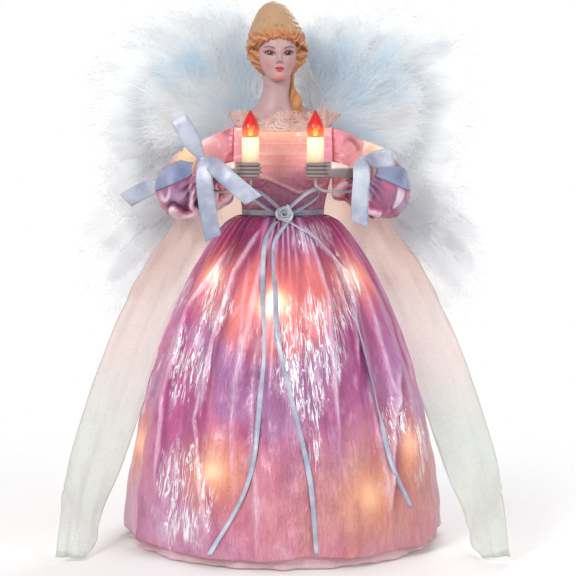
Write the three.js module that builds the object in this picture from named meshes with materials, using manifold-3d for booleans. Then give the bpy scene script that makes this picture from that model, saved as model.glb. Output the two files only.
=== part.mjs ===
// A lighted angel tree topper: a porcelain head and hands, a gathered satin gown over a hollow cone,
// feather wings that turn on wire pins, posable arms with electric candles, and a string of lamps.
// Millimetres, +Z up. The front faces -Y. The origin is on the ground, on the axis of the cone.

import * as THREE from "three";
import { mergeVertices } from "three/addons/utils/BufferGeometryUtils.js";
import Module from "manifold-3d";

const wasm = await Module();
wasm.setup();

// Clearances and sheet thicknesses
const fit = 0.35;
const clothThickness = 0.8;
const ribbonThickness = 0.7;

// Cone form: the stiff hollow cone that slips over the top of a tree
const coneBaseRadius = 74;
const coneTopRadius = 19;
const coneHeight = 186;
const coneWall = 1.4;
const rimWidth = 5;
const rimThickness = 1.8;
const notchWidth = 7;
const notchHeight = 5;

// Torso form: heights are above the top of the cone
const plugDepth = 12;
const torsoHeight = 57;
const waistHalfWidth = 22;
const waistHalfDepth = 18;
const bustHalfWidth = 26.5;
const bustHalfDepth = 22;
const bustForward = 2;
const chestHalfWidth = 27.5;
const chestHalfDepth = 19.5;
const shoulderHalfWidth = 27;
const shoulderHalfDepth = 16;
const shoulderTopHalfWidth = 22;
const shoulderTopHalfDepth = 11.5;
const bodiceLow = 5;
const bodiceHigh = 53;
const armholeRadius = 5;
const shoulderAxisHeight = 43;
const shoulderAxisY = 1;

// Head
const neckLength = 27.6;
const neckRadius = 8.2;
const neckX = -3.6;
const headTurn = 6;
const faceHalfWidth = 11.2;
const faceHalfDepth = 13.3;
const faceHeight = 31;
const hairHalfWidth = 18.4;
const hairHalfDepth = 18.2;
const hairHeight = 47;
const hairWave = 0.5;
const ringletRadius = 2.1;

// Lace collar
const collarHeight = 12;
const collarFlare = 3.5;
const collarRuffle = 1.6;
const collarRuffles = 10;

// Gown and petticoat
const hemRadius = 93;
const hemHeight = 6;
const gownRise = 6;
const waistGather = 27;
const waistFlatness = 0.84;
const pleatDepth = 2.6;
const pleatCount = 12;
const petticoatGap = 1.2;
const petticoatHem = 0.6;

// Waist ribbon, bow and rose
const sashWidth = 3.2;
const bowRibbonWidth = 3;
const tailLift = 0.8;
const bowLoopReach = 19;
const bowLoopRise = 13;
const bowTieDepth = 2.2;
const roseRadius = 5.6;
const roseDepth = 4.5;

// Tails of the waist bow on the gown: x, and height as a share of the gown's own height
const leftTail = [
  [-5, 0.984],
  [-10, 0.938],
  [-11.4, 0.771],
  [-10, 0.646],
  [-12.8, 0.484],
  [-19.3, 0.255],
  [-41, 0.042],
];
const middleTail = [
  [2, 0.984],
  [-4.5, 0.932],
  [-4.3, 0.781],
  [-2.8, 0.656],
  [5.6, 0.469],
  [14.9, 0.26],
  [18.7, 0.047],
];
const rightTail = [
  [5, 0.984],
  [15, 0.953],
  [26, 0.901],
  [39, 0.75],
  [48, 0.573],
  [55, 0.417],
  [62, 0.276],
  [73, 0.146],
];

// Arms and sleeves, given for the right side; the left side is the mirror image
const upperArm = new THREE.Vector3(31, -11, -23);
const lowerArm = new THREE.Vector3(-15, -26, 12);
const armWireRadius = 1.25;
const sleeveTopRadius = 12.5;
const puffRadius = 20;
const cuffRadius = 8;
const frillFlare = 1.6;
const sleeveRibbonWidth = 10;
const knotRadius = 2.8;

// Hands and candles: drops are below the shoulder axis
const candleX = 18.3;
const candleY = -50;
const candleRadius = 4.9;
const candleWall = 1.9;
const candleDrop = 10.9;
const candleLength = 20.7;
const flameHeight = 15;
const flamePeg = 10;
const socketFlange = 1.6;
const handDrop = 8.6;
const fingerRadius = 1;
const fingerPitch = 1.9;
const fingerCount = 4;
const wristRadius = 3.4;
const palmHalfHeight = 4.6;
const palmHalfDepth = 3.4;
const leadRadius = 0.9;

// Wings: x and y are measured from the wing's own pin, drops and rises from the shoulder axis
const wingPinX = 8;
const wingPinGap = 4.7;
const wingWireRadius = 1.25;
const bracketWidth = 26;
const bracketDrop = 7;
const bracketHeight = 16;
const bracketThickness = 2;
const barrelWall = 1.5;
const fanX = 14;
const fanRise = 7;
const fanRoot = 9;
const primaryLength = 82;
const longFeather = 54;
const longFeatherAngle = -45;
const longFeatherSpread = 15;
const shoulderFeather = 10;
const shoulderFeatherAngle = 32;
const shoulderFeatherSpread = 14;
const topFeatherLoss = 12;
const covertShare = 0.62;
const featherThickness = 1;
const featherRidge = 0.7;
const downThickness = 5.4;
const downLength = 78;
const cardThickness = 1.2;
const cardOutline = [
  [3, -10],
  [34, -30],
  [66, -30],
  [80, 4],
  [76, 40],
  [50, 56],
  [20, 50],
  [3, 26],
];

// Stole
const stoleClear = 0.1;
const stoleWave = 1.1;
const stoleWaves = 1.5;
const stoleEnd = 1.6;

// String of lamps on the cone
const lampWireRadius = 1;
const lampWireDrop = 3;
const socketRadius = 3.2;
const socketLength = 11;
const lampRadius = 2.6;
const lampLength = 12;
const lampBaseRadius = 1.9;
const lampBaseLength = 5;

// Each lamp: azimuth from the front towards +X, and height of its middle as a share of the cone's
const lamps = [
  [33, 0.226],
  [-27, 0.301],
  [-78, 0.333],
  [-165, 0.419],
  [-302, 0.355],
  [-366, 0.796],
  [-410, 0.871],
  [-670, 0.871],
];

// Derived heights and places
const gownTop = coneHeight + gownRise;
const torsoTop = coneHeight + torsoHeight;
const neckBase = torsoTop + fit;
const chinHeight = neckBase + neckLength;
const bodiceTop = coneHeight + bodiceHigh;
const shoulderX = chestHalfWidth + clothThickness + 2 * fit;
const shoulder = new THREE.Vector3(shoulderX, shoulderAxisY, coneHeight + shoulderAxisHeight);
const elbow = shoulder.clone().add(upperArm);
const cuff = elbow.clone().add(lowerArm);
const cuffUp = new THREE.Vector3(0, 0, 1).projectOnPlane(lowerArm.clone().normalize()).normalize();
const knotReach = cuffRadius + frillFlare + knotRadius + fit;
const knot = cuff.clone().addScaledVector(cuffUp, knotReach);
const candleBottom = shoulder.z - candleDrop;
const candleTop = candleBottom + candleLength;
const handHeight = shoulder.z - handDrop;
const bracketLow = shoulder.z - bracketDrop;
const bracketHigh = bracketLow + bracketHeight;
const fanZ = shoulder.z + fanRise;
const bracketFace = bustHalfDepth - bustForward + clothThickness + 2 * fit;
const wingPinY = bracketFace + bracketThickness + wingPinGap;
const coneSlope = Math.atan((coneBaseRadius - coneTopRadius) / coneHeight);
const lampPlaces = lamps.map(([azimuth, share]) => [azimuth, share * coneHeight]);

// Longer than the whole topper, for the tools that cut through it
const beyond = 400;

const degrees = THREE.MathUtils.degToRad;
const clamp = THREE.MathUtils.clamp;
const lerp = THREE.MathUtils.lerp;
const smooth = THREE.MathUtils.smoothstep;
const point = (x, y, z) => new THREE.Vector3(x, y, z);

// Geometry helpers

function meshGeometry(points, faces) {
  const geometry = new THREE.BufferGeometry();
  const coordinates = points.flatMap((p) => [p.x, p.y, p.z]);
  geometry.setAttribute("position", new THREE.Float32BufferAttribute(coordinates, 3));
  geometry.setIndex(faces.flat());
  return faceOut(geometry);
}

// Turns every face over when the enclosed volume comes out negative.
function faceOut(geometry) {
  const position = geometry.getAttribute("position");
  const index = geometry.index.array;
  const corners = [point(0, 0, 0), point(0, 0, 0), point(0, 0, 0)];
  let volume = 0;
  for (let face = 0; face < index.length; face += 3) {
    corners.forEach((corner, k) => corner.fromBufferAttribute(position, index[face + k]));
    volume += corners[0].dot(corners[1].clone().cross(corners[2]));
  }
  if (volume < 0) {
    const flipped = Array.from(index);
    for (let face = 0; face < flipped.length; face += 3) {
      [flipped[face], flipped[face + 1]] = [flipped[face + 1], flipped[face]];
    }
    geometry.setIndex(flipped);
  }
  return geometry;
}

// Keeps positions only, merges shared corners and drops faces without area.
function welded(geometry) {
  const bare = new THREE.BufferGeometry();
  bare.setAttribute("position", geometry.getAttribute("position"));
  if (geometry.index) {
    bare.setIndex(geometry.index);
  }
  const merged = mergeVertices(bare, 1e-4);
  const kept = [];
  const index = merged.index.array;
  for (let face = 0; face < index.length; face += 3) {
    const [a, b, c] = [index[face], index[face + 1], index[face + 2]];
    if (a !== b && b !== c && c !== a) {
      kept.push(a, b, c);
    }
  }
  merged.setIndex(kept);
  return faceOut(merged);
}

function mirrored(geometry) {
  const copy = geometry.clone();
  copy.scale(-1, 1, 1);
  return faceOut(copy);
}

function toSolid(geometry) {
  const clean = welded(geometry);
  const vertProperties = new Float32Array(clean.getAttribute("position").array);
  const triVerts = new Uint32Array(clean.index.array);
  return new wasm.Manifold(new wasm.Mesh({ numProp: 3, vertProperties, triVerts }));
}

function toGeometry(solid) {
  const mesh = solid.getMesh();
  const geometry = new THREE.BufferGeometry();
  geometry.setAttribute("position", new THREE.Float32BufferAttribute(mesh.vertProperties, 3));
  geometry.setIndex(Array.from(mesh.triVerts));
  return geometry;
}

function joined(...geometries) {
  return geometries.map(toSolid).reduce((all, next) => all.add(next));
}

// Joins closed rings of equal length into one body. A looped stack has no end caps.
function ringSolid(rings, looped = false) {
  const count = rings[0].length;
  const points = rings.flat();
  const faces = [];
  const last = looped ? rings.length : rings.length - 1;
  for (let ring = 0; ring < last; ring += 1) {
    const upper = (ring + 1) % rings.length;
    for (let side = 0; side < count; side += 1) {
      const next = (side + 1) % count;
      const [a, b] = [ring * count + side, ring * count + next];
      const [c, d] = [upper * count + side, upper * count + next];
      faces.push([a, b, d], [a, d, c]);
    }
  }
  if (!looped) {
    const start = points.push(middle(rings[0])) - 1;
    const end = points.push(middle(rings[rings.length - 1])) - 1;
    const offset = (rings.length - 1) * count;
    for (let side = 0; side < count; side += 1) {
      const next = (side + 1) % count;
      faces.push([start, next, side], [end, offset + side, offset + next]);
    }
  }
  return meshGeometry(points, faces);
}

function middle(ring) {
  return ring.reduce((sum, p) => sum.add(p), point(0, 0, 0)).divideScalar(ring.length);
}

// A ring of cloth between an inner and an outer stack of rings.
function clothRing(inner, outer) {
  return ringSolid([...outer, ...inner.slice().reverse()], true);
}

// A thin sheet of even thickness over a grid of points at(u, v).
function sheetSolid(at, columns, rows, thickness) {
  const grid = [];
  for (let row = 0; row <= rows; row += 1) {
    const line = [];
    for (let column = 0; column <= columns; column += 1) {
      line.push(at(column / columns, row / rows));
    }
    grid.push(line);
  }
  const points = [];
  for (const side of [0.5, -0.5]) {
    for (let row = 0; row <= rows; row += 1) {
      for (let column = 0; column <= columns; column += 1) {
        const right = grid[row][Math.min(column + 1, columns)];
        const left = grid[row][Math.max(column - 1, 0)];
        const after = grid[Math.min(row + 1, rows)][column];
        const before = grid[Math.max(row - 1, 0)][column];
        const normal = right.clone().sub(left).cross(after.clone().sub(before)).normalize();
        points.push(grid[row][column].clone().addScaledVector(normal, side * thickness));
      }
    }
  }
  const index = (layer, row, column) => (layer * (rows + 1) + row) * (columns + 1) + column;
  const faces = [];
  for (let row = 0; row < rows; row += 1) {
    for (let column = 0; column < columns; column += 1) {
      for (const layer of [0, 1]) {
        const a = index(layer, row, column);
        const b = index(layer, row, column + 1);
        const c = index(layer, row + 1, column + 1);
        const d = index(layer, row + 1, column);
        faces.push(layer === 0 ? [a, b, c] : [a, c, b], layer === 0 ? [a, c, d] : [a, d, c]);
      }
    }
  }
  const border = [];
  for (let column = 0; column < columns; column += 1) {
    border.push([[0, column], [0, column + 1]], [[rows, column + 1], [rows, column]]);
  }
  for (let row = 0; row < rows; row += 1) {
    border.push([[row, columns], [row + 1, columns]], [[row + 1, 0], [row, 0]]);
  }
  for (const [from, to] of border) {
    const [p, q] = [index(0, ...from), index(0, ...to)];
    const [lowP, lowQ] = [index(1, ...from), index(1, ...to)];
    faces.push([q, p, lowP], [q, lowP, lowQ]);
  }
  return meshGeometry(points, faces);
}

function tube(points, radius, sides, steps) {
  const corners = [];
  for (let side = 0; side < sides; side += 1) {
    const angle = (2 * Math.PI * side) / sides;
    corners.push(new THREE.Vector2(radius * Math.cos(angle), radius * Math.sin(angle)));
  }
  const path = new THREE.CatmullRomCurve3(points, false, "centripetal");
  const section = new THREE.Shape(corners);
  return welded(new THREE.ExtrudeGeometry(section, { steps, bevelEnabled: false, extrudePath: path }));
}

// Turns a profile of [radius, height] pairs about the Z axis.
function revolved(profile, segments) {
  const outline = profile.map(([radius, height]) => new THREE.Vector2(radius, height));
  return welded(new THREE.LatheGeometry(outline, segments).rotateX(Math.PI / 2));
}

function closedProfile(profile) {
  return [...profile, profile[0]];
}

function ellipse(centreX, centreY, height, halfWidth, halfDepth, sides) {
  const ring = [];
  for (let side = 0; side < sides; side += 1) {
    const angle = (2 * Math.PI * side) / sides;
    ring.push(point(centreX + halfWidth * Math.sin(angle), centreY - halfDepth * Math.cos(angle), height));
  }
  return ring;
}

function boxBetween(low, high) {
  const size = high.clone().sub(low);
  const box = new THREE.BoxGeometry(size.x, size.y, size.z);
  box.translate((low.x + high.x) / 2, (low.y + high.y) / 2, (low.z + high.z) / 2);
  return box;
}

// A loft round the straight line from start to end: stations hold [share of the line, radius].
function limb(start, end, stations, sides, grow = 0) {
  const axis = end.clone().sub(start);
  const across = axis.clone().cross(point(0, 0, 1)).normalize();
  const other = across.clone().cross(axis).normalize();
  const rings = stations.map(([share, radius]) => {
    const centre = start.clone().addScaledVector(axis, share);
    const ring = [];
    for (let side = 0; side < sides; side += 1) {
      const angle = (2 * Math.PI * side) / sides;
      const reach = radius + grow;
      ring.push(centre.clone()
        .addScaledVector(across, reach * Math.cos(angle))
        .addScaledVector(other, reach * Math.sin(angle)));
    }
    return ring;
  });
  return ringSolid(rings);
}

// A flat ribbon along a curve, with its width in one direction.
function ribbon(points, widthDirection, width, rows) {
  const path = new THREE.CatmullRomCurve3(points, false, "centripetal");
  const across = widthDirection.clone().normalize();
  const at = (u, v) => path.getPoint(v).addScaledVector(across, (u - 0.5) * width);
  return sheetSolid(at, 1, rows, ribbonThickness);
}

function part(name, geometry, [colour, roughness, metalness]) {
  const material = new THREE.MeshStandardMaterial({ color: colour, roughness, metalness });
  const mesh = new THREE.Mesh(welded(geometry), material);
  mesh.name = name;
  return mesh;
}

// Facets: how many sides a round piece gets
const coneSides = 32;
const torsoSides = 20;
const limbSides = 14;
const candleSides = 12;
const lampSides = 8;
const barrelSides = 14;
const wireSides = 6;
const fingerSides = 5;
const headSides = 16;
const cordSides = 8;
const lampWireSides = 4;

// Steps: how many rows a curved piece gets along its length
const tailRows = 16;
const loopRows = 8;
const cuffLoopRows = 9;
const cuffTailRows = 6;
const armWireSteps = 15;
const fingerSteps = 6;
const thumbSteps = 4;
const leadSteps = 12;
const wingWireSteps = 28;
const lampWireSteps = 88;
const stoleColumns = 6;
const stoleRows = 32;

// Finishes: colour, roughness, metalness
const whitePlastic = [0xf2efe9, 0.45, 0];
const porcelain = [0xf1d3c8, 0.3, 0];
const satin = [0xd9a0c4, 0.4, 0];
const organza = [0xf3ead9, 0.6, 0];
const laceFinish = [0xf4d9cf, 0.8, 0];
const blueSatin = [0xbfc6e6, 0.4, 0];
const feather = [0xeff1f3, 0.9, 0];
const card = [0xf1ede3, 0.9, 0];
const steelWire = [0x9a9a9c, 0.35, 1];
const candlePlastic = [0xfff3d8, 0.5, 0];
const redGlass = [0xe0402c, 0.15, 0];
const clearGlass = [0xfff0c8, 0.1, 0];
const greyLead = [0xb9b4b0, 0.6, 0];
const petticoatFinish = [0xf6dfe6, 0.7, 0];

// Cone form

function coneRadius(height) {
  return lerp(coneBaseRadius, coneTopRadius, height / coneHeight);
}

function coneForm() {
  const profile = closedProfile([
    [coneBaseRadius, 0],
    [coneTopRadius, coneHeight],
    [coneTopRadius - coneWall, coneHeight],
    [coneRadius(rimThickness) - coneWall, rimThickness],
    [coneBaseRadius - rimWidth, rimThickness],
    [coneBaseRadius - rimWidth, 0],
  ]);
  const notch = boxBetween(
    point(-notchWidth / 2, coneBaseRadius - 2 * rimWidth, -notchHeight),
    point(notchWidth / 2, coneBaseRadius + rimWidth, notchHeight),
  );
  return toGeometry(toSolid(revolved(profile, coneSides)).subtract(toSolid(notch)));
}

// Torso and bodice

const torsoStations = [
  [fit, waistHalfWidth, waistHalfDepth, 0],
  [9, waistHalfWidth, waistHalfDepth, 0],
  [22, lerp(waistHalfWidth, bustHalfWidth, 0.6), lerp(waistHalfDepth, bustHalfDepth, 0.5), -1],
  [33, bustHalfWidth, bustHalfDepth, -bustForward],
  [shoulderAxisHeight, chestHalfWidth, chestHalfDepth, -0.5],
  [51, shoulderHalfWidth, shoulderHalfDepth, 0.5],
  [torsoHeight, shoulderTopHalfWidth, shoulderTopHalfDepth, 1],
];

function torsoAt(height) {
  let lower = torsoStations[0];
  let upper = torsoStations[1];
  for (let k = 1; k < torsoStations.length; k += 1) {
    if (torsoStations[k - 1][0] <= height) {
      lower = torsoStations[k - 1];
      upper = torsoStations[k];
    }
  }
  const share = clamp((height - lower[0]) / (upper[0] - lower[0]), 0, 1);
  return lower.map((value, k) => lerp(value, upper[k], share));
}

function torsoRing(height, grow) {
  const [, halfWidth, halfDepth, centreY] = torsoAt(height);
  return ellipse(0, centreY, coneHeight + height, halfWidth + grow, halfDepth + grow, torsoSides);
}

// A bar along X through both shoulders, for the bores that the arm wires turn in.
function shoulderBar(radius, from, to) {
  const bar = new THREE.CylinderGeometry(radius, radius, to - from, 12).rotateZ(Math.PI / 2);
  bar.translate((from + to) / 2, shoulder.y, shoulder.z);
  return toSolid(bar);
}

const stubDepth = 13;

function torsoForm() {
  const plugRadius = coneTopRadius - coneWall - fit;
  const rings = [
    ellipse(0, 0, coneHeight - plugDepth, plugRadius, plugRadius, torsoSides),
    ellipse(0, 0, coneHeight + fit, plugRadius, plugRadius, torsoSides),
    ...torsoStations.map(([height]) => torsoRing(height, 0)),
  ];
  let solid = toSolid(ringSolid(rings));
  const reach = 2 * shoulderX;
  const boreRadius = armWireRadius + fit;
  solid = solid.subtract(shoulderBar(boreRadius, shoulderX - stubDepth - fit, reach));
  solid = solid.subtract(shoulderBar(boreRadius, -reach, -shoulderX + stubDepth + fit));
  return toGeometry(solid);
}

function bodice() {
  const between = torsoStations.map(([height]) => height).filter((h) => h > bodiceLow && h < bodiceHigh);
  const heights = [bodiceLow, ...between, bodiceHigh];
  const inner = heights.map((height) => torsoRing(height, fit));
  const outer = heights.map((height) => torsoRing(height, fit + clothThickness));
  const reach = 2 * shoulderX;
  return toGeometry(toSolid(clothRing(inner, outer)).subtract(shoulderBar(armholeRadius, -reach, reach)));
}

function laceCollar() {
  const [, halfWidth, halfDepth, centreY] = torsoAt(bodiceHigh);
  const sides = collarRuffles * 4;
  const rows = 2;
  const stacks = [0, clothThickness].map((grow) => {
    const stack = [];
    for (let row = 0; row <= rows; row += 1) {
      const rise = row / rows;
      const ring = [];
      for (let side = 0; side < sides; side += 1) {
        const angle = (2 * Math.PI * side) / sides;
        const ruffle = collarRuffle * rise * Math.cos(collarRuffles * angle);
        const reach = grow + fit + collarFlare * rise + ruffle;
        const height = bodiceTop + fit + collarHeight * rise * (1 - 0.12 * Math.cos(2 * angle));
        const x = (halfWidth + reach) * Math.sin(angle);
        ring.push(point(x, centreY - (halfDepth + reach) * Math.cos(angle), height));
      }
      stack.push(ring);
    }
    return stack;
  });
  return clothRing(stacks[0], stacks[1]);
}

// Head: shoulder plate and neck, face, and dressed hair, moulded in one

function porcelainHead() {
  const neckStations = [
    [0, 24, 13.5, 0],
    [2.5, 23.5, 13, 0],
    [6, 18.5, 11.8, 0.2],
    [10, 11.8, 10.2, 0.7],
    [14, neckRadius + 0.6, neckRadius + 0.6, 1],
    [20, neckRadius, neckRadius, 1],
    [neckLength + 3, neckRadius, neckRadius, 1],
  ];
  const neck = ringSolid(neckStations.map(([height, halfWidth, halfDepth, shift]) =>
    ellipse(neckX * shift, 0.5, neckBase + height, halfWidth, halfDepth, headSides)));
  const faceStations = [
    [0, 0.22, 0.24, -10],
    [0.05, 0.46, 0.46, -8],
    [0.15, 0.7, 0.68, -6],
    [0.29, 0.88, 0.87, -4.4],
    [0.45, 0.98, 0.98, -3.4],
    [0.65, 1, 1, -3],
    [0.84, 0.94, 0.96, -3],
    [1, 0.75, 0.78, -3],
  ];
  const face = ringSolid(faceStations.map(([share, width, depth, centreY]) =>
    ellipse(0, centreY, faceHeight * share, faceHalfWidth * width, faceHalfDepth * depth, headSides)));
  const hairStations = [
    [0.1, 0.66, 0.72, 0.8, 4],
    [0.19, 0.87, 0.88, 0.8, 3],
    [0.28, 0.97, 0.96, 0.6, 2.4],
    [0.36, 1, 1, 0.3, 2],
    [0.44, 0.985, 1.01, 0.1, 1.7],
    [0.52, 0.925, 1, 0, 1.5],
    [0.65, 0.83, 0.93, -0.4, 1.5],
    [0.78, 0.67, 0.74, -1, 1.5],
    [0.91, 0.43, 0.49, -1.4, 2],
    [0.98, 0.2, 0.23, -1.5, 2],
    [1, 0.08, 0.09, -1.5, 2],
  ];
  const hair = ringSolid(hairStations.map(([share, width, depth, shiftX, shiftY], row) => {
    const wave = row % 2 === 0 ? hairWave : -hairWave;
    const halfWidth = hairHalfWidth * width + wave;
    return ellipse(shiftX, shiftY, hairHeight * share, halfWidth, hairHalfDepth * depth + wave, headSides);
  }));
  const window = new THREE.SphereGeometry(1, 12, 8);
  window.scale(faceHalfWidth * 0.92, faceHalfDepth * 0.7, faceHeight * 0.47);
  window.translate(0, -faceHalfDepth - 4, faceHeight * 0.36);
  const nose = new THREE.SphereGeometry(1, 7, 5);
  nose.scale(1.3, 1.7, 2.6);
  nose.translate(0, -faceHalfDepth - 3, faceHeight * 0.36);
  let head = toSolid(hair).subtract(toSolid(window)).add(toSolid(face)).add(toSolid(nose));
  head = toSolid(toGeometry(head).rotateZ(degrees(headTurn)).translate(neckX, 0, chinHeight));
  const ringlet = tube([
    point(neckX + 10, 6, chinHeight + 8),
    point(neckX + 11.5, 4, chinHeight - 3),
    point(neckX + 14, -1, chinHeight - 12),
    point(neckX + 11.5, -6, chinHeight - 19),
  ], ringletRadius, wireSides, 6);
  return toGeometry(head.add(toSolid(neck)).add(toSolid(ringlet)));
}

// Gown

// Share of the full flare that the gown has at a share of its fall.
function bell(fall) {
  return (1 - (1 - fall) ** 1.6) ** 0.75;
}

function gownFall(height) {
  return clamp((gownTop - height) / (gownTop - petticoatHem), 0, 1);
}

function pleatReach(fall) {
  return pleatDepth * (0.12 + 0.88 * smooth(fall, 0, 0.3)) * (1 - 0.3 * fall);
}

function gownPoint(angle, height, shift) {
  const fall = gownFall(height);
  const radius = lerp(waistGather, hemRadius, bell(fall)) + shift;
  const depth = lerp(waistFlatness, 1, smooth(fall, 0, 0.35));
  return point(radius * Math.sin(angle), -radius * depth * Math.cos(angle), height);
}

function pleat(angle) {
  return Math.cos(pleatCount * angle + 0.5 * Math.sin(3 * angle));
}

const gownSides = pleatCount * 6;
const gownFalls = [0, 0.03, 0.1, 0.22, 0.42, 0.68, 1];

function gownRing(height, shift, pleated) {
  const ring = [];
  for (let side = 0; side < gownSides; side += 1) {
    const angle = (2 * Math.PI * side) / gownSides;
    const wave = pleated ? pleatReach(gownFall(height)) * pleat(angle) : 0;
    ring.push(gownPoint(angle, height, shift + wave));
  }
  return ring;
}

function skirt() {
  const heights = gownFalls.map((fall) => lerp(gownTop, hemHeight, fall));
  const inner = heights.map((height) => gownRing(height, -clothThickness / 2, true));
  const outer = heights.map((height) => gownRing(height, clothThickness / 2, true));
  return clothRing(inner, outer);
}

function petticoat() {
  const sides = 28;
  const heights = gownFalls.map((fall) => lerp(gownTop - 2, petticoatHem, fall));
  const stacks = [0, -clothThickness].map((grow) => heights.map((height) => {
    const shift = grow - petticoatGap - pleatReach(gownFall(height));
    const ring = [];
    for (let side = 0; side < sides; side += 1) {
      ring.push(gownPoint((2 * Math.PI * side) / sides, height, shift));
    }
    return ring;
  }));
  return clothRing(stacks[1], stacks[0]);
}

function waistRibbon() {
  const low = gownRise + 1;
  const stacks = [2 * fit + clothThickness, 2 * fit + clothThickness + ribbonThickness].map((grow) =>
    [torsoRing(low, grow), torsoRing(low + sashWidth, grow)]);
  return clothRing(stacks[0], stacks[1]);
}

// A point in front of the gown at a given x and height, for ribbons that lie on it.
function onGown(x, height) {
  const lift = pleatReach(gownFall(height)) + clothThickness / 2 + ribbonThickness / 2 + tailLift;
  const reach = gownPoint(Math.PI / 2, height, lift).x;
  const angle = Math.asin(clamp(x / reach, -1, 1));
  return gownPoint(angle, height, lift);
}

const bowFront = waistHalfDepth + 2 * fit + clothThickness + ribbonThickness;
const bowCentre = point(0.6, -bowFront - fit - bowTieDepth, gownTop + 2.5);

function waistBow() {
  const solids = [leftTail, middleTail, rightTail].map((tail) => {
    const start = bowCentre.clone().add(point(Math.sign(tail[0][0]), 1, -0.5));
    const points = [start, ...tail.map(([x, share]) => onGown(x, share * gownTop))];
    return ribbon(points, point(1, 0, 0), bowRibbonWidth, tailRows);
  });
  for (const side of [-1, 1]) {
    const out = (share, depth, rise) =>
      bowCentre.clone().add(point(side * bowLoopReach * share, depth, bowLoopRise * rise));
    solids.push(ribbon([
      out(0, 0.6, 0), out(0.5, -2.4, 0.55), out(0.95, -2, 1), out(1, 0, 1.05),
      out(0.9, 1.6, 0.95), out(0.5, 1.6, 0.45), out(0, 0.6, 0),
    ], point(-side * 0.55, 0, 0.83), bowRibbonWidth, loopRows));
  }
  const tie = new THREE.SphereGeometry(1, 8, 6).scale(2.6, 1.5, 2.2);
  tie.translate(bowCentre.x, bowCentre.y + 0.5, bowCentre.z);
  return toGeometry(joined(tie, ...solids));
}

function waistRose() {
  const profile = [
    [0, 0],
    [roseRadius * 0.7, 0],
    [roseRadius, roseDepth * 0.45],
    [roseRadius * 0.92, roseDepth * 0.8],
    [roseRadius * 0.62, roseDepth * 0.62],
    [roseRadius * 0.5, roseDepth],
    [roseRadius * 0.22, roseDepth * 0.78],
    [0, roseDepth * 0.9],
  ];
  const rose = revolved(profile, candleSides).rotateX(Math.PI / 2);
  return rose.translate(bowCentre.x, bowCentre.y - 3.2 - ribbonThickness - fit, bowCentre.z);
}

// Arms

// Each station: share of the upper or lower arm, and share of the sleeve's top or puff radius
const upperStations = [
  [-0.12, 0.95],
  [0, 1],
  [0.22, 1.16],
  [0.45, 1.42],
  [0.7, 1.6],
  [1, 1.56],
  [1.22, 1.3],
  [1.38, 0.8],
];
const lowerStations = [
  [-0.5, 0.4],
  [-0.36, 0.7],
  [-0.15, 0.93],
  [0.1, 1],
  [0.35, 0.94],
  [0.62, 0.7],
  [0.85, 0.44],
];

function upperSleeve(grow) {
  const swell = upperStations.map(([share, width]) => [share, sleeveTopRadius * width]);
  return limb(shoulder, elbow, swell, limbSides, grow);
}

function lowerSleeve(grow) {
  const swell = lowerStations.map(([share, width]) => [share, puffRadius * width]);
  const mouth = [[1, cuffRadius], [1.09, cuffRadius + frillFlare]];
  return limb(elbow, cuff, [...swell, ...mouth], limbSides, grow);
}

const palm = point(candleX + candleRadius + palmHalfDepth + fit, candleY - 0.5, handHeight);

function forearmAxis(share) {
  return cuff.clone().lerp(palm, share);
}

const forearmStations = [
  [-0.28, wristRadius * 0.9, wristRadius * 0.9],
  [0.1, wristRadius, wristRadius],
  [0.45, wristRadius * 0.92, wristRadius],
  [0.72, palmHalfDepth * 0.9, palmHalfHeight * 0.85],
  [1, palmHalfDepth, palmHalfHeight],
  [1.12, palmHalfDepth * 0.6, palmHalfHeight * 0.8],
];

function forearmCore(grow) {
  const along = palm.clone().sub(cuff).normalize();
  const across = along.clone().cross(point(0, 0, 1)).normalize();
  return ringSolid(forearmStations.map(([share, halfDepth, halfHeight]) => {
    const centre = forearmAxis(share);
    const ring = [];
    for (let side = 0; side < limbSides; side += 1) {
      const angle = (2 * Math.PI * side) / limbSides;
      const reach = (halfDepth + grow) * Math.cos(angle);
      const rise = (halfHeight + grow) * Math.sin(angle);
      ring.push(centre.clone().addScaledVector(across, reach).add(point(0, 0, rise)));
    }
    return ring;
  }));
}

function armWirePoints() {
  return [
    point(shoulder.x - stubDepth, shoulder.y, shoulder.z),
    point(shoulder.x - stubDepth / 2, shoulder.y, shoulder.z),
    point(shoulder.x, shoulder.y, shoulder.z),
    point(shoulder.x + 3, shoulder.y, shoulder.z),
    shoulder.clone().lerp(elbow, 0.5),
    elbow.clone(),
    elbow.clone().lerp(cuff, 0.55),
    forearmAxis(-0.2),
    forearmAxis(0),
  ];
}

function armWireTube(radius) {
  return tube(armWirePoints(), radius, wireSides, armWireSteps);
}

function fingers() {
  const reach = candleRadius + fit + fingerRadius;
  const low = handHeight - ((fingerCount - 1) / 2) * fingerPitch;
  const solids = [];
  for (let finger = 0; finger < fingerCount; finger += 1) {
    const points = [];
    const height = low + finger * fingerPitch;
    for (const turn of [8, -30, -70, -105, -135, -158]) {
      const angle = degrees(turn);
      points.push(point(candleX + reach * Math.cos(angle), candleY + reach * Math.sin(angle), height));
    }
    points.unshift(palm.clone().setZ(height));
    solids.push(tube(points, fingerRadius, fingerSides, fingerSteps));
  }
  return solids;
}

function thumb() {
  const reach = candleRadius + fit + fingerRadius * 1.2;
  const height = handHeight + palmHalfHeight * 0.6;
  const points = [palm.clone().setZ(height - 1)];
  for (const turn of [20, 60, 100]) {
    const angle = degrees(turn);
    points.push(point(candleX + reach * Math.cos(angle), candleY + reach * Math.sin(angle), height));
  }
  return tube(points, fingerRadius * 1.2, fingerSides, thumbSteps);
}

function candleSpace(grow) {
  const radius = candleRadius + grow;
  const bar = new THREE.CylinderGeometry(radius, radius, 2 * candleLength, candleSides);
  return toSolid(bar.rotateX(Math.PI / 2).translate(candleX, candleY, handHeight));
}

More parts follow.
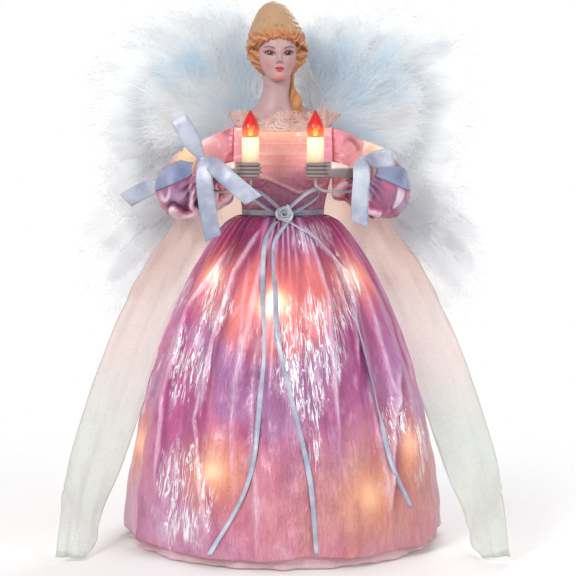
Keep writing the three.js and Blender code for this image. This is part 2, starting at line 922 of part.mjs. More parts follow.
function forearm() {
  const wireBore = toSolid(armWireTube(armWireRadius + fit));
  const core = toSolid(forearmCore(0)).subtract(candleSpace(fit)).subtract(wireBore);
  return toGeometry(largest(core.add(joined(...fingers())).add(toSolid(thumb()))));
}

function leadPoints() {
  const low = candleBottom - socketFlange - 2 * fit;
  return [
    point(candleX, candleY, low),
    point(candleX + 0.3, candleY + 0.3, low - 4),
    point(candleX + 4, candleY + 3, low - 7),
    point(candleX + 11, candleY + 6.5, low - 8),
    point(candleX + 19, candleY + 10.5, low - 8),
    cuff.clone().add(point(-4, 3, -cuffRadius - 1)),
    cuff.clone().add(point(0.5, 7, -cuffRadius + 0.5)),
  ];
}

function candleLead(radius) {
  return tube(leadPoints(), radius, cordSides, leadSteps);
}

function sleeve() {
  const planeBox = boxBetween(point(shoulder.x, -beyond, 0), point(beyond, beyond, beyond));
  return toGeometry(joined(upperSleeve(0), lowerSleeve(0))
    .intersect(toSolid(planeBox))
    .subtract(toSolid(armWireTube(armWireRadius + fit)))
    .subtract(toSolid(forearmCore(fit)))
    .subtract(toSolid(candleLead(leadRadius + fit))));
}

// The largest separate body of a solid.
function largest(solid) {
  return solid.decompose().sort((a, b) => b.volume() - a.volume())[0];
}

// Shares of the lower arm between which the ribbon lies on the sleeve.
const ribbonSpan = [-0.4, 1.05];

// A band of ribbon that lies lengthwise round the puff of the sleeve.
function cuffRibbon() {
  const axis = lowerArm.clone().normalize();
  const normal = axis.clone().cross(point(0, 1, 0)).normalize();
  const [from, to] = ribbonSpan;
  const slab = new THREE.BoxGeometry((to - from) * lowerArm.length(), 6 * puffRadius, sleeveRibbonWidth);
  const frame = new THREE.Matrix4().makeBasis(axis, normal.clone().cross(axis), normal);
  slab.applyMatrix4(frame.setPosition(elbow.clone().lerp(cuff, (from + to) / 2)));
  const band = toSolid(lowerSleeve(fit + ribbonThickness))
    .subtract(toSolid(lowerSleeve(fit)))
    .subtract(toSolid(upperSleeve(fit)))
    .subtract(toSolid(forearmCore(fit)))
    .subtract(toSolid(candleLead(leadRadius + fit)))
    .intersect(toSolid(slab));
  return toGeometry(largest(band));
}

function bowKnot() {
  const body = new THREE.SphereGeometry(1, 8, 6);
  body.scale(knotRadius, knotRadius * 0.8, knotRadius);
  return body.translate(knot.x, knot.y, knot.z);
}

// A loop of ribbon from the knot: out along the front and back along the rear.
function bowLoop(out, width) {
  const side = out.clone().cross(point(0, 1, 0)).normalize();
  const at = (share, depth) => knot.clone().addScaledVector(out, share).add(point(0, depth, 0));
  const points = [at(0, -0.5), at(0.4, -4), at(0.8, -4), at(1, -1), at(0.85, 2), at(0.4, 1.6), at(0, -0.3)];
  return ribbon(points, side, width, cuffLoopRows);
}

function bowTail(offsets, widthDirection) {
  const points = [knot.clone(), ...offsets.map((offset) => knot.clone().add(offset))];
  return ribbon(points, widthDirection, sleeveRibbonWidth * 0.8, cuffTailRows);
}

function rightCuffBow() {
  const loop = bowLoop(point(16, -8, 2), sleeveRibbonWidth * 0.8);
  const tail = bowTail([
    point(0, -8, -1),
    point(1, -13, -9),
    point(0, -14, -22),
    point(-1, -12, -38),
  ], point(1, 0.25, 0));
  return toGeometry(largest(joined(bowKnot(), loop, tail)));
}

// Made for the right side and mirrored onto the left.
function leftCuffBow() {
  const loop = bowLoop(point(13, -7, 22), sleeveRibbonWidth);
  const fallingTail = bowTail([
    point(0, -8, -1),
    point(0, -13, -10),
    point(-2, -14, -28),
    point(-5, -13, -47),
  ], point(1, 0.2, 0));
  const crossTail = bowTail([
    point(-1, -6, 3.2),
    point(-5, -13, -2),
    point(-12, -19, -11),
    point(-20, -21, -19),
    point(-29, -20, -27),
  ], point(0.5, 0, 0.86));
  return toGeometry(largest(joined(bowKnot(), loop, fallingTail, crossTail)));
}

function candleTube() {
  const profile = closedProfile([
    [candleRadius, candleBottom],
    [candleRadius, candleTop],
    [candleRadius - candleWall, candleTop],
    [candleRadius - candleWall, candleBottom],
  ]);
  return revolved(profile, candleSides).translate(candleX, candleY, 0);
}

function candleSocket() {
  const coreRadius = candleRadius - candleWall - fit;
  const top = candleTop - flamePeg - fit;
  const profile = [
    [0, candleBottom - fit - socketFlange],
    [candleRadius, candleBottom - fit - socketFlange],
    [candleRadius, candleBottom - fit],
    [coreRadius, candleBottom - fit],
    [coreRadius, top],
    [0, top],
  ];
  return revolved(profile, candleSides).translate(candleX, candleY, 0);
}

function flameBulb() {
  const pegRadius = candleRadius - candleWall - fit;
  const seat = candleTop + fit;
  const profile = [
    [0, candleTop - flamePeg],
    [pegRadius, candleTop - flamePeg],
    [pegRadius, seat],
    [candleRadius * 0.86, seat],
    [candleRadius * 0.98, seat + flameHeight * 0.2],
    [candleRadius * 0.94, seat + flameHeight * 0.36],
    [candleRadius * 0.66, seat + flameHeight * 0.62],
    [candleRadius * 0.28, seat + flameHeight * 0.87],
    [0, seat + flameHeight],
  ];
  return revolved(profile, candleSides).translate(candleX, candleY, 0);
}

// Wings

// Layers of a wing from front to back, measured from its pin.
const downMiddle = 1;
const covertFront = downMiddle + downThickness / 2 + fit;
const fanDepth = featherThickness + 2 * featherRidge;
const covertMiddle = covertFront + fanDepth / 2;
const primaryMiddle = covertMiddle + fanDepth + fit;
const spineY = primaryMiddle + fanDepth / 2 + fit + wingWireRadius;
const cardFront = spineY + wingWireRadius + 1.5 * fit;

function hump(angle, centre, width) {
  return Math.exp(-(((angle - centre) / width) ** 2));
}

function wingLength(angle) {
  const long = longFeather * hump(angle, longFeatherAngle, longFeatherSpread);
  const shoulderTip = shoulderFeather * hump(angle, shoulderFeatherAngle, shoulderFeatherSpread);
  return primaryLength + long + shoulderTip - topFeatherLoss * smooth(angle, 70, 100);
}

// A fan of overlapped feathers with rounded tips, spread in the plane of the wing.
function featherFan({ from, to, count, length, depthAt, tip, thickness, ridge }) {
  const perFeather = 4;
  const columns = count * perFeather;
  const at = (u, v) => {
    const angle = lerp(from, to, u);
    const phase = (u * count) % 1;
    const round = Math.sqrt(Math.max(0, 1 - (2 * phase - 1) ** 2));
    const reach = lerp(fanRoot, length(angle) * (1 - tip + tip * round), v);
    const lift = ridge * (2 * Math.abs(phase - 0.5) - 0.5) * v * 2;
    const turn = degrees(angle);
    return point(fanX + reach * Math.cos(turn), depthAt + lift, fanZ + reach * Math.sin(turn));
  };
  return sheetSolid(at, columns, 2, thickness);
}

function primaries() {
  return featherFan({
    from: -58, to: 98, count: 10, length: wingLength,
    depthAt: primaryMiddle, tip: 0.1, thickness: featherThickness, ridge: featherRidge,
  });
}

function coverts() {
  return featherFan({
    from: -44, to: 88, count: 7, length: (angle) => covertShare * wingLength(angle),
    depthAt: covertMiddle, tip: 0.14, thickness: featherThickness, ridge: featherRidge,
  });
}

function downFeathers() {
  return featherFan({
    from: 22, to: 104, count: 5, length: () => downLength,
    depthAt: downMiddle, tip: 0.12, thickness: downThickness, ridge: 0,
  });
}

function wingWire() {
  return tube([
    point(0, 0, bracketLow - 2),
    point(0, 0, (bracketLow + bracketHigh) / 2),
    point(0, 0, bracketHigh),
    point(0, 0, bracketHigh + 6),
    point(1, spineY * 0.3, bracketHigh + 9),
    point(1.5, spineY * 0.8, bracketHigh + 12),
    point(5, spineY, bracketHigh + 16),
    point(24, spineY, bracketHigh + 32),
    point(48, spineY, bracketHigh + 44),
    point(70, spineY, bracketHigh + 30),
  ], wingWireRadius, wireSides, wingWireSteps);
}

function wingCard() {
  const [first, ...others] = cardOutline.map(([x, rise]) => new THREE.Vector2(x, fanZ + rise));
  const outline = new THREE.Shape();
  outline.moveTo(first.x, first.y);
  outline.splineThru(others);
  const options = { depth: cardThickness, bevelEnabled: false, curveSegments: 3 };
  const plate = new THREE.ExtrudeGeometry(outline, options);
  plate.rotateX(Math.PI / 2);
  return plate.translate(0, cardFront + cardThickness, 0);
}

function wingBracket() {
  const back = bracketFace + bracketThickness;
  const barrelRadius = wingWireRadius + fit + barrelWall;
  const half = bracketWidth / 2;
  let solid = toSolid(boxBetween(point(-half, bracketFace, bracketLow), point(half, back, bracketHigh)));
  const middleZ = (bracketHigh + bracketLow) / 2;
  for (const side of [-1, 1]) {
    const barrel = new THREE.CylinderGeometry(barrelRadius, barrelRadius, bracketHeight, barrelSides);
    barrel.rotateX(Math.PI / 2).translate(side * wingPinX, wingPinY, middleZ);
    const web = boxBetween(
      point(side * wingPinX - barrelWall, back - 0.5, bracketLow),
      point(side * wingPinX + barrelWall, wingPinY, bracketHigh),
    );
    const bore = wingWireRadius + fit;
    const hole = new THREE.CylinderGeometry(bore, bore, 2 * bracketHeight, barrelSides);
    hole.rotateX(Math.PI / 2).translate(side * wingPinX, wingPinY, middleZ);
    solid = solid.add(toSolid(barrel)).add(toSolid(web)).subtract(toSolid(hole));
  }
  return toGeometry(solid);
}

// Stole

// Edge stations for the right half, from the middle of the back to the hanging end. The first rows give
// both edges behind the back and the arm; the later rows follow the gown at an azimuth from +X.
const stoleBackY = bracketFace + bracketThickness + 2;
const stoleBackLow = gownTop - 4;
const stoleBackHigh = bracketLow - 8;
const stoleBack = [
  [point(0, stoleBackY + 5.5, stoleBackLow), point(0, stoleBackY, stoleBackHigh)],
  [point(28, stoleBackY + 4, stoleBackLow + 1), point(30, stoleBackY, stoleBackHigh + 2)],
  [point(42, stoleBackY + 0.5, stoleBackLow - 4), point(57, stoleBackY - 2.5, stoleBackHigh - 3)],
];
const stoleFall = [
  { azimuth: -24, height: 0.885 * gownTop, away: 3, width: 27, tilt: 38 },
  { azimuth: -15, height: 0.781 * gownTop, away: 0, width: 29, tilt: 24 },
  { azimuth: -8, height: 0.656 * gownTop, away: 0, width: 30, tilt: 16 },
  { azimuth: 0, height: 0.51 * gownTop, away: 0, width: 31, tilt: 13 },
  { azimuth: 7, height: 0.365 * gownTop, away: 1.5, width: 31, tilt: 12 },
  { azimuth: 14, height: 0.219 * gownTop, away: 6, width: 30, tilt: 22 },
  { azimuth: 20, height: 0.089 * gownTop, away: 18, width: 29, tilt: 48 },
  { azimuth: 25, height: stoleEnd, away: 42, width: 30, tilt: 84 },
];

function stoleEdges() {
  const inner = stoleBack.map(([low]) => low);
  const outer = stoleBack.map(([, high]) => high);
  for (const { azimuth, height, away, width, tilt } of stoleFall) {
    const shift = pleatReach(gownFall(height)) + clothThickness + stoleClear + away;
    const low = gownPoint(degrees(90 - azimuth), height, shift);
    const out = point(low.x, low.y, 0).normalize();
    const high = low.clone().addScaledVector(out, width * Math.cos(degrees(tilt)));
    high.z += width * Math.sin(degrees(tilt));
    inner.push(low);
    outer.push(high);
  }
  return [inner, outer].map((edge) => new THREE.CatmullRomCurve3(edge, false, "centripetal"));
}

function stole() {
  const [inner, outer] = stoleEdges();
  const at = (u, v) => {
    const signed = 2 * v - 1;
    const along = Math.abs(signed);
    const place = inner.getPoint(along).lerp(outer.getPoint(along), u);
    const wave = stoleWave * Math.sin(2 * Math.PI * stoleWaves * u) * smooth(along, 0.2, 0.5);
    const out = point(place.x, place.y, 0).normalize().cross(point(0, 0, 1));
    place.addScaledVector(out, wave);
    return point(signed < 0 ? -place.x : place.x, place.y, place.z);
  };
  return sheetSolid(at, stoleColumns, stoleRows, clothThickness);
}

// String of lamps

const lampReach = (socketRadius + fit) / Math.cos(coneSlope);

// Sockets and lamps are turned about Z, then laid along the slope of the cone.
function onCone(mesh, azimuth, height) {
  const slope = new THREE.Group();
  slope.position.set(0, -(coneRadius(height) + lampReach), height);
  slope.rotation.x = -coneSlope;
  slope.add(mesh);
  const turn = new THREE.Group();
  turn.rotation.z = degrees(azimuth);
  turn.add(slope);
  return turn;
}

const lampFoot = socketLength + lampLength / 2;

function lampSocket() {
  const bore = lampBaseRadius + fit;
  const floor = socketLength - lampBaseLength - 2 * fit;
  const profile = [
    [0, 0],
    [socketRadius * 0.8, 0],
    [socketRadius, 2],
    [socketRadius, socketLength],
    [bore, socketLength],
    [bore, floor],
    [0, floor],
  ];
  return revolved(profile, lampSides).translate(0, 0, -lampFoot);
}

function lampBulb() {
  const profile = [
    [0, socketLength + fit - lampBaseLength],
    [lampBaseRadius, socketLength + fit - lampBaseLength],
    [lampBaseRadius, socketLength + fit],
    [lampRadius, socketLength + fit + 1],
    [lampRadius, socketLength + lampLength - 4],
    [lampRadius * 0.6, socketLength + lampLength - 1.5],
    [0, socketLength + lampLength],
  ];
  return revolved(profile, lampSides).translate(0, 0, -lampFoot);
}

function lampWire() {
  const drop = lampFoot * Math.cos(coneSlope) + lampWireRadius + lampWireDrop;
  const stops = [[180, notchHeight], ...lampPlaces.map(([azimuth, height]) => [azimuth, height - drop])];
  const points = [];
  const spacing = 12;
  const away = (lampWireRadius + 2 * fit) / Math.cos(coneSlope);
  stops.forEach(([azimuth, height], k) => {
    const [nextAzimuth, nextHeight] = stops[Math.min(k + 1, stops.length - 1)];
    const pieces = Math.max(1, Math.round(Math.abs(nextAzimuth - azimuth) / spacing));
    for (let piece = 0; piece < pieces; piece += 1) {
      const share = piece / pieces;
      const rise = lerp(height, nextHeight, smooth(share, 0, 1));
      const angle = degrees(lerp(azimuth, nextAzimuth, share));
      const radius = coneRadius(rise) + away;
      points.push(point(radius * Math.sin(angle), -radius * Math.cos(angle), rise));
    }
  });
  return tube(points, lampWireRadius, lampWireSides, lampWireSteps);
}

// Assembly

const topper = new THREE.Group();
topper.add(
  part("cone_form", coneForm(), whitePlastic),
  part("torso_form", torsoForm(), whitePlastic),
  part("bodice", bodice(), satin),
  part("lace_collar", laceCollar(), laceFinish),
  part("porcelain_head", porcelainHead(), porcelain),
  part("skirt", skirt(), satin),
  part("underskirt", petticoat(), petticoatFinish),
  part("waist_ribbon", waistRibbon(), blueSatin),
  part("waist_bow", waistBow(), blueSatin),
  part("waist_rose", waistRose(), blueSatin),
  part("stole", stole(), organza),
  part("wing_bracket", wingBracket(), whitePlastic),
  part("lamp_wire", lampWire(), whitePlastic),
);

lampPlaces.forEach(([azimuth, height], k) => {
  topper.add(onCone(part(`lamp_socket_${k + 1}`, lampSocket(), whitePlastic), azimuth, height));
  topper.add(onCone(part(`lamp_${k + 1}`, lampBulb(), clearGlass), azimuth, height));
});

const armPieces = [
  ["arm_wire", armWireTube(armWireRadius), steelWire],
  ["sleeve", sleeve(), satin],
  ["cuff_ribbon", cuffRibbon(), blueSatin],
  ["forearm", forearm(), porcelain],
  ["candle_tube", candleTube(), candlePlastic],
  ["candle_socket", candleSocket(), whitePlastic],
  ["candle_lead", candleLead(leadRadius), greyLead],
  ["flame_bulb", flameBulb(), redGlass],
];
for (const [name, geometry, finish] of armPieces) {
  topper.add(part(`right_${name}`, geometry, finish));
  topper.add(part(`left_${name}`, mirrored(welded(geometry)), finish));
}
topper.add(part("right_cuff_bow", rightCuffBow(), blueSatin));
topper.add(part("left_cuff_bow", mirrored(welded(leftCuffBow())), blueSatin));

const wingPieces = [
  ["wing_wire", wingWire(), steelWire],
  ["wing_card", wingCard(), card],
  ["wing_primaries", primaries(), feather],
  ["wing_coverts", coverts(), feather],
  ["wing_down", downFeathers(), feather],
];
for (const [sideName, side] of [["right", 1], ["left", -1]]) {
  const wing = new THREE.Group();
  wing.position.set(side * wingPinX, wingPinY, 0);
  for (const [name, geometry, finish] of wingPieces) {
    const shape = side > 0 ? geometry : mirrored(welded(geometry));
    wing.add(part(`${sideName}_${name}`, shape, finish));
  }
  topper.add(wing);
}

export default topper;
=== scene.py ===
"""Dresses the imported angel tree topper: porcelain, satin, organza, lace, ribbon and feathers.

Shapes are worked out in millimetres, in the frame of the CAD, and become metres where an object is made.
The front faces -Y. Angles round the gown start at the front and turn towards +X.
Sleeves, hands, bows and wings are worked out for the right side (+X), and mirrored() makes the left.
"""

import math

import bmesh
import bpy
import numpy as np
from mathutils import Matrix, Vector
from mathutils.bvhtree import BVHTree


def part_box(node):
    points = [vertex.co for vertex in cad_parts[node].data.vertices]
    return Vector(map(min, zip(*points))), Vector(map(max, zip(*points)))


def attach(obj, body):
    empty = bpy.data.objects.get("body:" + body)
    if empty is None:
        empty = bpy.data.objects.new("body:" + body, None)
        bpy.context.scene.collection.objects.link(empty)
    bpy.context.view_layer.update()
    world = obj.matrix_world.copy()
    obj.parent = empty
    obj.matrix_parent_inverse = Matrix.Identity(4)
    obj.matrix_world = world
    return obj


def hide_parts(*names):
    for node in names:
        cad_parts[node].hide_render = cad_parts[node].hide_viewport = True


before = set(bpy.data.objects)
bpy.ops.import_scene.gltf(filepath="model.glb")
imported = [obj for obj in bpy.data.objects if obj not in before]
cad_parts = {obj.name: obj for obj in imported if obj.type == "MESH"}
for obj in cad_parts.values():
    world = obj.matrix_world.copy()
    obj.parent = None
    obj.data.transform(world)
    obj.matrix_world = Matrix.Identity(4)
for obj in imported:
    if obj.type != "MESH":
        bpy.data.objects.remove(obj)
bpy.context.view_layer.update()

MM = 0.001
TURN = 2 * np.pi
UP = np.array([0, 0, 1.0])
BACKWARD = np.array([0, 1.0, 0])
SIDES = {"left": -1, "right": 1}

# Sizes repeated from the CAD
CLOTH = 0.8
RIBBON_WIDTH = 10.0
FINE_RIBBON_WIDTH = 3.0
CONE_HEIGHT = 186.0
GOWN_TOP = 192.0
SKIRT_HEM = 6.0
PETTICOAT_HEM = 0.6
WAIST_GATHER = 27.0
HEM_RADIUS = 93.0
BODICE_LOW = 191.0
BODICE_TOP = 239.0
COLLAR_HEIGHT = 12.0
NECK_BASE = 243.35
NECK_X = -3.6
CHIN = 270.95
HEAD_TURN = math.radians(6)
FACE_HALF_WIDTH = 11.2
FACE_HALF_DEPTH = 13.3
FACE_HEIGHT = 31.0
HAIR_HALF_WIDTH = 18.4
HAIR_HALF_DEPTH = 18.2
HAIR_HEIGHT = 47.0
SHOULDER = np.array([29.0, 1.0, 229.0])
ELBOW = np.array([60.0, -10.0, 206.0])
CUFF = np.array([45.0, -36.0, 218.0])
KNOT = np.array([45.5, -39.5, 225.5])
BAND_NORMAL = np.array([0.42, 0.0, 0.907])
CANDLE = np.array([18.3, -50.0])
CANDLE_RADIUS = 4.9
CANDLE_LOW = 218.1
CANDLE_TOP = 238.8
FLAME_HEIGHT = 15.0
HAND_HEIGHT = 220.4
PALM = np.array([26.95, -50.5, HAND_HEIGHT])
FINGER_PITCH = 2.15
LEAD_RADIUS = 0.9
BOW_CENTRE = np.array([0.6, -22.3, 194.5])
FAN_X = 22.0
FAN_Z = 236.0
FAN_ROOT = 9.0
DOWN_Y = 29.2
COVERT_Y = 33.4
PRIMARY_Y = 36.2
LAMPS = range(1, 9)

# Sizes of the dressed forms
ARMHOLE = 28.5
COLLAR_SQUARE = 4.0
TEMPLE_DEPTH = 9.6
OUTER_TAIL = np.array([71.5, -10.5, 211.8])


# Sums


def srgb(red, green, blue):
    """A screen colour from 0 to 255 in linear values."""
    shares = np.array([red, green, blue]) / 255
    return np.where(shares <= 0.04045, shares / 12.92, ((shares + 0.055) / 1.055) ** 2.4)


def rgba(colour):
    return (*[float(value) for value in colour], 1.0)


def tone(red, green, blue):
    """A screen colour for a shader's socket."""
    return rgba(srgb(red, green, blue))


def smooth(value, low, high):
    """Rises softly from 0 at low to 1 at high."""
    share = np.clip((value - low) / (high - low), 0, 1)
    return share * share * (3 - 2 * share)


def bump(value, centre, width):
    return np.exp(-(((value - centre) / width) ** 2))


def wrapped(angle):
    return np.arctan2(np.sin(angle), np.cos(angle))


def around(count):
    return np.linspace(0, TURN, count, endpoint=False)


def unit(vectors):
    vectors = np.asarray(vectors, float)
    return vectors / np.maximum(np.linalg.norm(vectors, axis=-1, keepdims=True), 1e-9)


def ripple(points, seed, wavelength, waves=9):
    """Soft seeded noise between about -1 and 1, from a few crossed waves."""
    rng = np.random.default_rng(seed)
    total = np.zeros(points.shape[:-1])
    for _ in range(waves):
        direction = unit(rng.normal(size=3))
        turns = TURN / (wavelength * rng.uniform(0.7, 1.5))
        total += np.sin(turns * (points @ direction) + rng.uniform(0, TURN))
    return total / math.sqrt(waves / 2)


def blend_colour(low, high, share):
    share = np.asarray(share)[..., None]
    return low * (1 - share) + high * share


def layered(colour, layers):
    """A colour under further tints, each with its share at every point, laid on in turn."""
    for share, tint in layers:
        colour = blend_colour(colour, srgb(*tint), share)
    return colour


def glow_of(share, red, green, blue):
    """Light of one colour that cloth gives off, more or less of it at each point."""
    return share[..., None] * srgb(red, green, blue)


def hermite(start, end, start_slope, end_slope, t):
    return (
        (2 * t**3 - 3 * t**2 + 1) * start
        + (t**3 - 2 * t**2 + t) * start_slope
        + (-2 * t**3 + 3 * t**2) * end
        + (t**3 - t**2) * end_slope
    )


def spline(points, shares):
    """Points on a centripetal Catmull-Rom curve at shares of its length in knots."""
    knots = np.asarray(points, float)
    last = len(knots) - 1
    ends = np.vstack([2 * knots[0] - knots[1], knots, 2 * knots[-1] - knots[-2]])
    place = np.clip(np.asarray(shares, float), 0, 1) * last
    index = np.minimum(place.astype(int), last - 1)
    share = (place - index)[:, None]
    p0, p1, p2, p3 = (ends[index + k] for k in range(4))
    d0, d1, d2 = (
        np.maximum(np.linalg.norm(b - a, axis=1)[:, None] ** 0.5, 1e-6)
        for a, b in ((p0, p1), (p1, p2), (p2, p3))
    )
    m1 = ((p1 - p0) / d0 - (p2 - p0) / (d0 + d1) + (p2 - p1) / d1) * d1
    m2 = ((p2 - p1) / d1 - (p3 - p1) / (d1 + d2) + (p3 - p2) / d2) * d1
    return hermite(p1, p2, m1, m2, share)


def loft(stations, at):
    """Values at places along the first column of the stations, joined smoothly."""
    table = np.asarray(stations, float)
    places, values = table[:, 0], table[:, 1:]
    slopes = np.gradient(values, places, axis=0)
    at = np.asarray(at, float)
    index = np.clip(np.searchsorted(places, at) - 1, 0, len(places) - 2)
    span = (places[index + 1] - places[index])[:, None]
    t = np.clip((at - places[index])[:, None] / span, 0, 1)
    return hermite(values[index], values[index + 1], slopes[index] * span, slopes[index + 1] * span, t)


def smoothed(rows):
    """Rows of points, each but the first and last drawn halfway to its neighbours."""
    rows[1:-1] = 0.5 * rows[1:-1] + 0.25 * (rows[:-2] + rows[2:])
    return rows


# Meshes


def grid_faces(rows, columns, looped=False):
    index = np.arange(rows * columns).reshape(rows, columns)
    if looped:
        index = np.hstack([index, index[:, :1]])
    corners = [index[:-1, :-1], index[:-1, 1:], index[1:, 1:], index[1:, :-1]]
    return np.stack(corners, axis=-1).reshape(-1, 4)


def closed_faces(rows, columns):
    """Faces of a stack of rings with both ends capped."""
    last = (rows - 1) * columns
    faces = [tuple(face) for face in grid_faces(rows, columns, looped=True)]
    faces.append(tuple(range(columns))[::-1])
    faces.append(tuple(range(last, last + columns)))
    return faces


def strand_faces(count, steps):
    """Faces of many narrow strips, each of so many steps."""
    start = (np.arange(count) * (2 * (steps + 1)))[:, None] + 2 * np.arange(steps)[None, :]
    return np.stack([start, start + 1, start + 3, start + 2], axis=-1).reshape(-1, 4)


def mirrored(points, side):
    return np.asarray(points, float) * np.array([side, 1, 1])


def put(name, data, material, body, nodes=()):
    """An object that rides on a body and stands for the named CAD nodes."""
    data.materials.clear()
    data.materials.append(material)
    made = bpy.data.objects.new(name, data)
    bpy.context.scene.collection.objects.link(made)
    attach(made, body)
    if nodes:
        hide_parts(*nodes)
    return made


def piece(name, points, faces, material, body, nodes=()):
    """A smooth mesh as an object of its own."""
    mesh = bpy.data.meshes.new(name)
    corners = (np.asarray(points, float).reshape(-1, 3) * MM).tolist()
    mesh.from_pydata(corners, [], [tuple(int(k) for k in face) for face in faces])
    mesh.shade_smooth()
    return put(name, mesh, material, body, nodes)


def remeshed(name, points, faces, voxel, rounds, material, body, nodes=()):
    """One smooth closed skin over pieces that run into each other."""
    rough = piece(name + "_rough", points, faces, material, body)
    remesh = rough.modifiers.new("skin", "REMESH")
    remesh.mode = "VOXEL"
    remesh.voxel_size = voxel * MM
    soften = rough.modifiers.new("soften", "SMOOTH")
    soften.factor = 0.5
    soften.iterations = rounds
    bpy.context.view_layer.update()
    graph = bpy.context.evaluated_depsgraph_get()
    mesh = bpy.data.meshes.new_from_object(rough.evaluated_get(graph))
    bpy.data.objects.remove(rough)
    mesh.name = name
    mesh.shade_smooth()
    return put(name, mesh, material, body, nodes)


def face_out(made):
    """Turns the faces of a closed mesh to the outside."""
    work = bmesh.new()
    work.from_mesh(made.data)
    bmesh.ops.recalc_face_normals(work, faces=work.faces)
    work.to_mesh(made.data)
    work.free()
    return made


def thicken(made, thickness):
    solid = made.modifiers.new("thickness", "SOLIDIFY")
    solid.thickness = thickness * MM
    solid.offset = 0
    return made


def paint(made, name, values):
    """A colour, or one number, for each point."""
    values = np.asarray(values, np.float32)
    colours = np.ones((len(made.data.vertices), 4), np.float32)
    colours[:, :3] = values.reshape(len(colours), -1)
    layer = made.data.color_attributes.new(name, "FLOAT_COLOR", "POINT")
    layer.data.foreach_set("color", colours.ravel())


def note(made, name, vectors):
    """A vector for each point, for textures to follow."""
    layer = made.data.attributes.new(name, "FLOAT_VECTOR", "POINT")
    layer.data.foreach_set("vector", np.asarray(vectors, np.float32).ravel())


def vectors_of(vertices, key):
    flat = np.zeros(len(vertices) * 3, np.float32)
    vertices.foreach_get(key, flat)
    return flat.reshape(-1, 3).astype(float)


def points_of(made):
    return vectors_of(made.data.vertices, "co") / MM


def normals_of(made):
    return vectors_of(made.data.vertex_normals, "vector")


def move_points(made, points):
    made.data.vertices.foreach_set("co", (points * MM).astype(np.float32).ravel())
    made.data.update()


def transported(path):
    """Two directions across a path at each of its points, without twist."""
    tangents = unit(np.gradient(path, axis=0))
    start = UP if abs(tangents[0][2]) < 0.9 else np.array([1.0, 0, 0])
    across = unit(start - tangents[0] * (start @ tangents[0]))
    sides = []
    for tangent in tangents:
        across = unit(across - tangent * (across @ tangent))
        sides.append(across)
    sides = np.array(sides)
    return sides, np.cross(tangents, sides)


def tube(path, radii, sides):
    """Points and faces of a closed tube, with a radius for each point of the path or of its rings."""
    first, second = transported(path)
    angles = around(sides)[:, None]
    ring = first[:, None] * np.cos(angles) + second[:, None] * np.sin(angles)
    radii = np.reshape(radii, (len(path), -1, 1))
    return (path[:, None] + ring * radii).reshape(-1, 3), closed_faces(len(path), sides)


def lathe(profile, sides, centre):
    """Points and faces of a profile of radius and height, turned about an upright axis."""
    profile = np.asarray(profile, float)
    x = centre[0] + profile[:, :1] * np.cos(around(sides))
    y = centre[1] + profile[:, :1] * np.sin(around(sides))
    z = np.broadcast_to(profile[:, 1:], x.shape)
    return np.stack([x, y, z], axis=-1).reshape(-1, 3), closed_faces(len(profile), sides)


def strip(path, across, widths, columns, cup=0.0):
    """A ribbon along a path. Cup bends it across its width. Both may differ from point to point."""
    across = unit(np.broadcast_to(np.asarray(across, float), path.shape))
    normals = unit(np.cross(np.gradient(path, axis=0), across))
    shares = np.linspace(-0.5, 0.5, columns)[:, None]
    widths, cup = (np.broadcast_to(value, len(path))[:, None, None] for value in (widths, cup))
    points = path[:, None] + across[:, None] * shares * widths
    points += normals[:, None] * cup * (1 - 4 * shares**2)
    return points.reshape(-1, 3), grid_faces(len(path), columns)


def together(parts):
    """Several pairs of points and faces as one."""
    points, faces, count = [], [], 0
    for part_points, part_faces in parts:
        points.append(np.asarray(part_points, float).reshape(-1, 3))
        faces.extend(tuple(int(k) + count for k in face) for face in part_faces)
        count += len(points[-1])
    return np.vstack(points), faces


# Shader nodes


class Nodes:
    """Short ways to add nodes to a tree. A value may be a number, a colour or another node's output."""

    def __init__(self, tree):
        self.tree = tree

    def plug(self, socket, value):
        if isinstance(value, bpy.types.NodeSocket):
            self.tree.links.new(value, socket)
        else:
            socket.default_value = value

    def add(self, kind, settings=None, **inputs):
        made = self.tree.nodes.new(kind)
        for key, value in (settings or {}).items():
            setattr(made, key, value)
        for key, value in inputs.items():
            self.plug(made.inputs[key.replace("_", " ")], value)
        return made

    def fill(self, made, values):
        for index, value in values.items():
            self.plug(made.inputs[index], value)
        return made.outputs

    def maths(self, operation, *values):
        made = self.add("ShaderNodeMath", {"operation": operation})
        return self.fill(made, dict(enumerate(values)))[0]

    def mix_value(self, factor, low, high):
        made = self.add("ShaderNodeMix", {"data_type": "FLOAT"})
        return self.fill(made, {0: factor, 2: low, 3: high})[0]

    def mix(self, factor, low, high, kind="MIX"):
        made = self.add("ShaderNodeMix", {"data_type": "RGBA", "blend_type": kind})
        return self.fill(made, {0: factor, 6: low, 7: high})[2]

    def remap(self, value, limits, to=(0.0, 1.0)):
        made = self.add("ShaderNodeMapRange", {"interpolation_type": "SMOOTHSTEP"})
        return self.fill(made, dict(enumerate((value, *limits, *to))))[0]

    def spread(self, noise, to=(0.0, 1.0)):
        """A noise's middle range, spread over the given values."""
        return self.remap(noise, (0.3, 0.7), to)

    def shade(self, factor, colour, *darker):
        return self.mix(factor, colour, tone(*darker), "MULTIPLY")

    def scaled(self, vector, *scale):
        return self.add("ShaderNodeMapping", Vector=vector, Scale=scale).outputs["Vector"]

    def noise(self, vector, scale, detail, roughness=0.55):
        made = self.add("ShaderNodeTexNoise", Vector=vector, Scale=scale, Detail=detail, Roughness=roughness)
        return made.outputs["Fac"]

    def attribute(self, name, output="Color"):
        return self.add("ShaderNodeAttribute", {"attribute_name": name}).outputs[output]

    def here(self):
        return self.add("ShaderNodeTexCoord").outputs["Object"]

    def height(self):
        return self.add("ShaderNodeSeparateXYZ", Vector=self.here()).outputs["Z"]


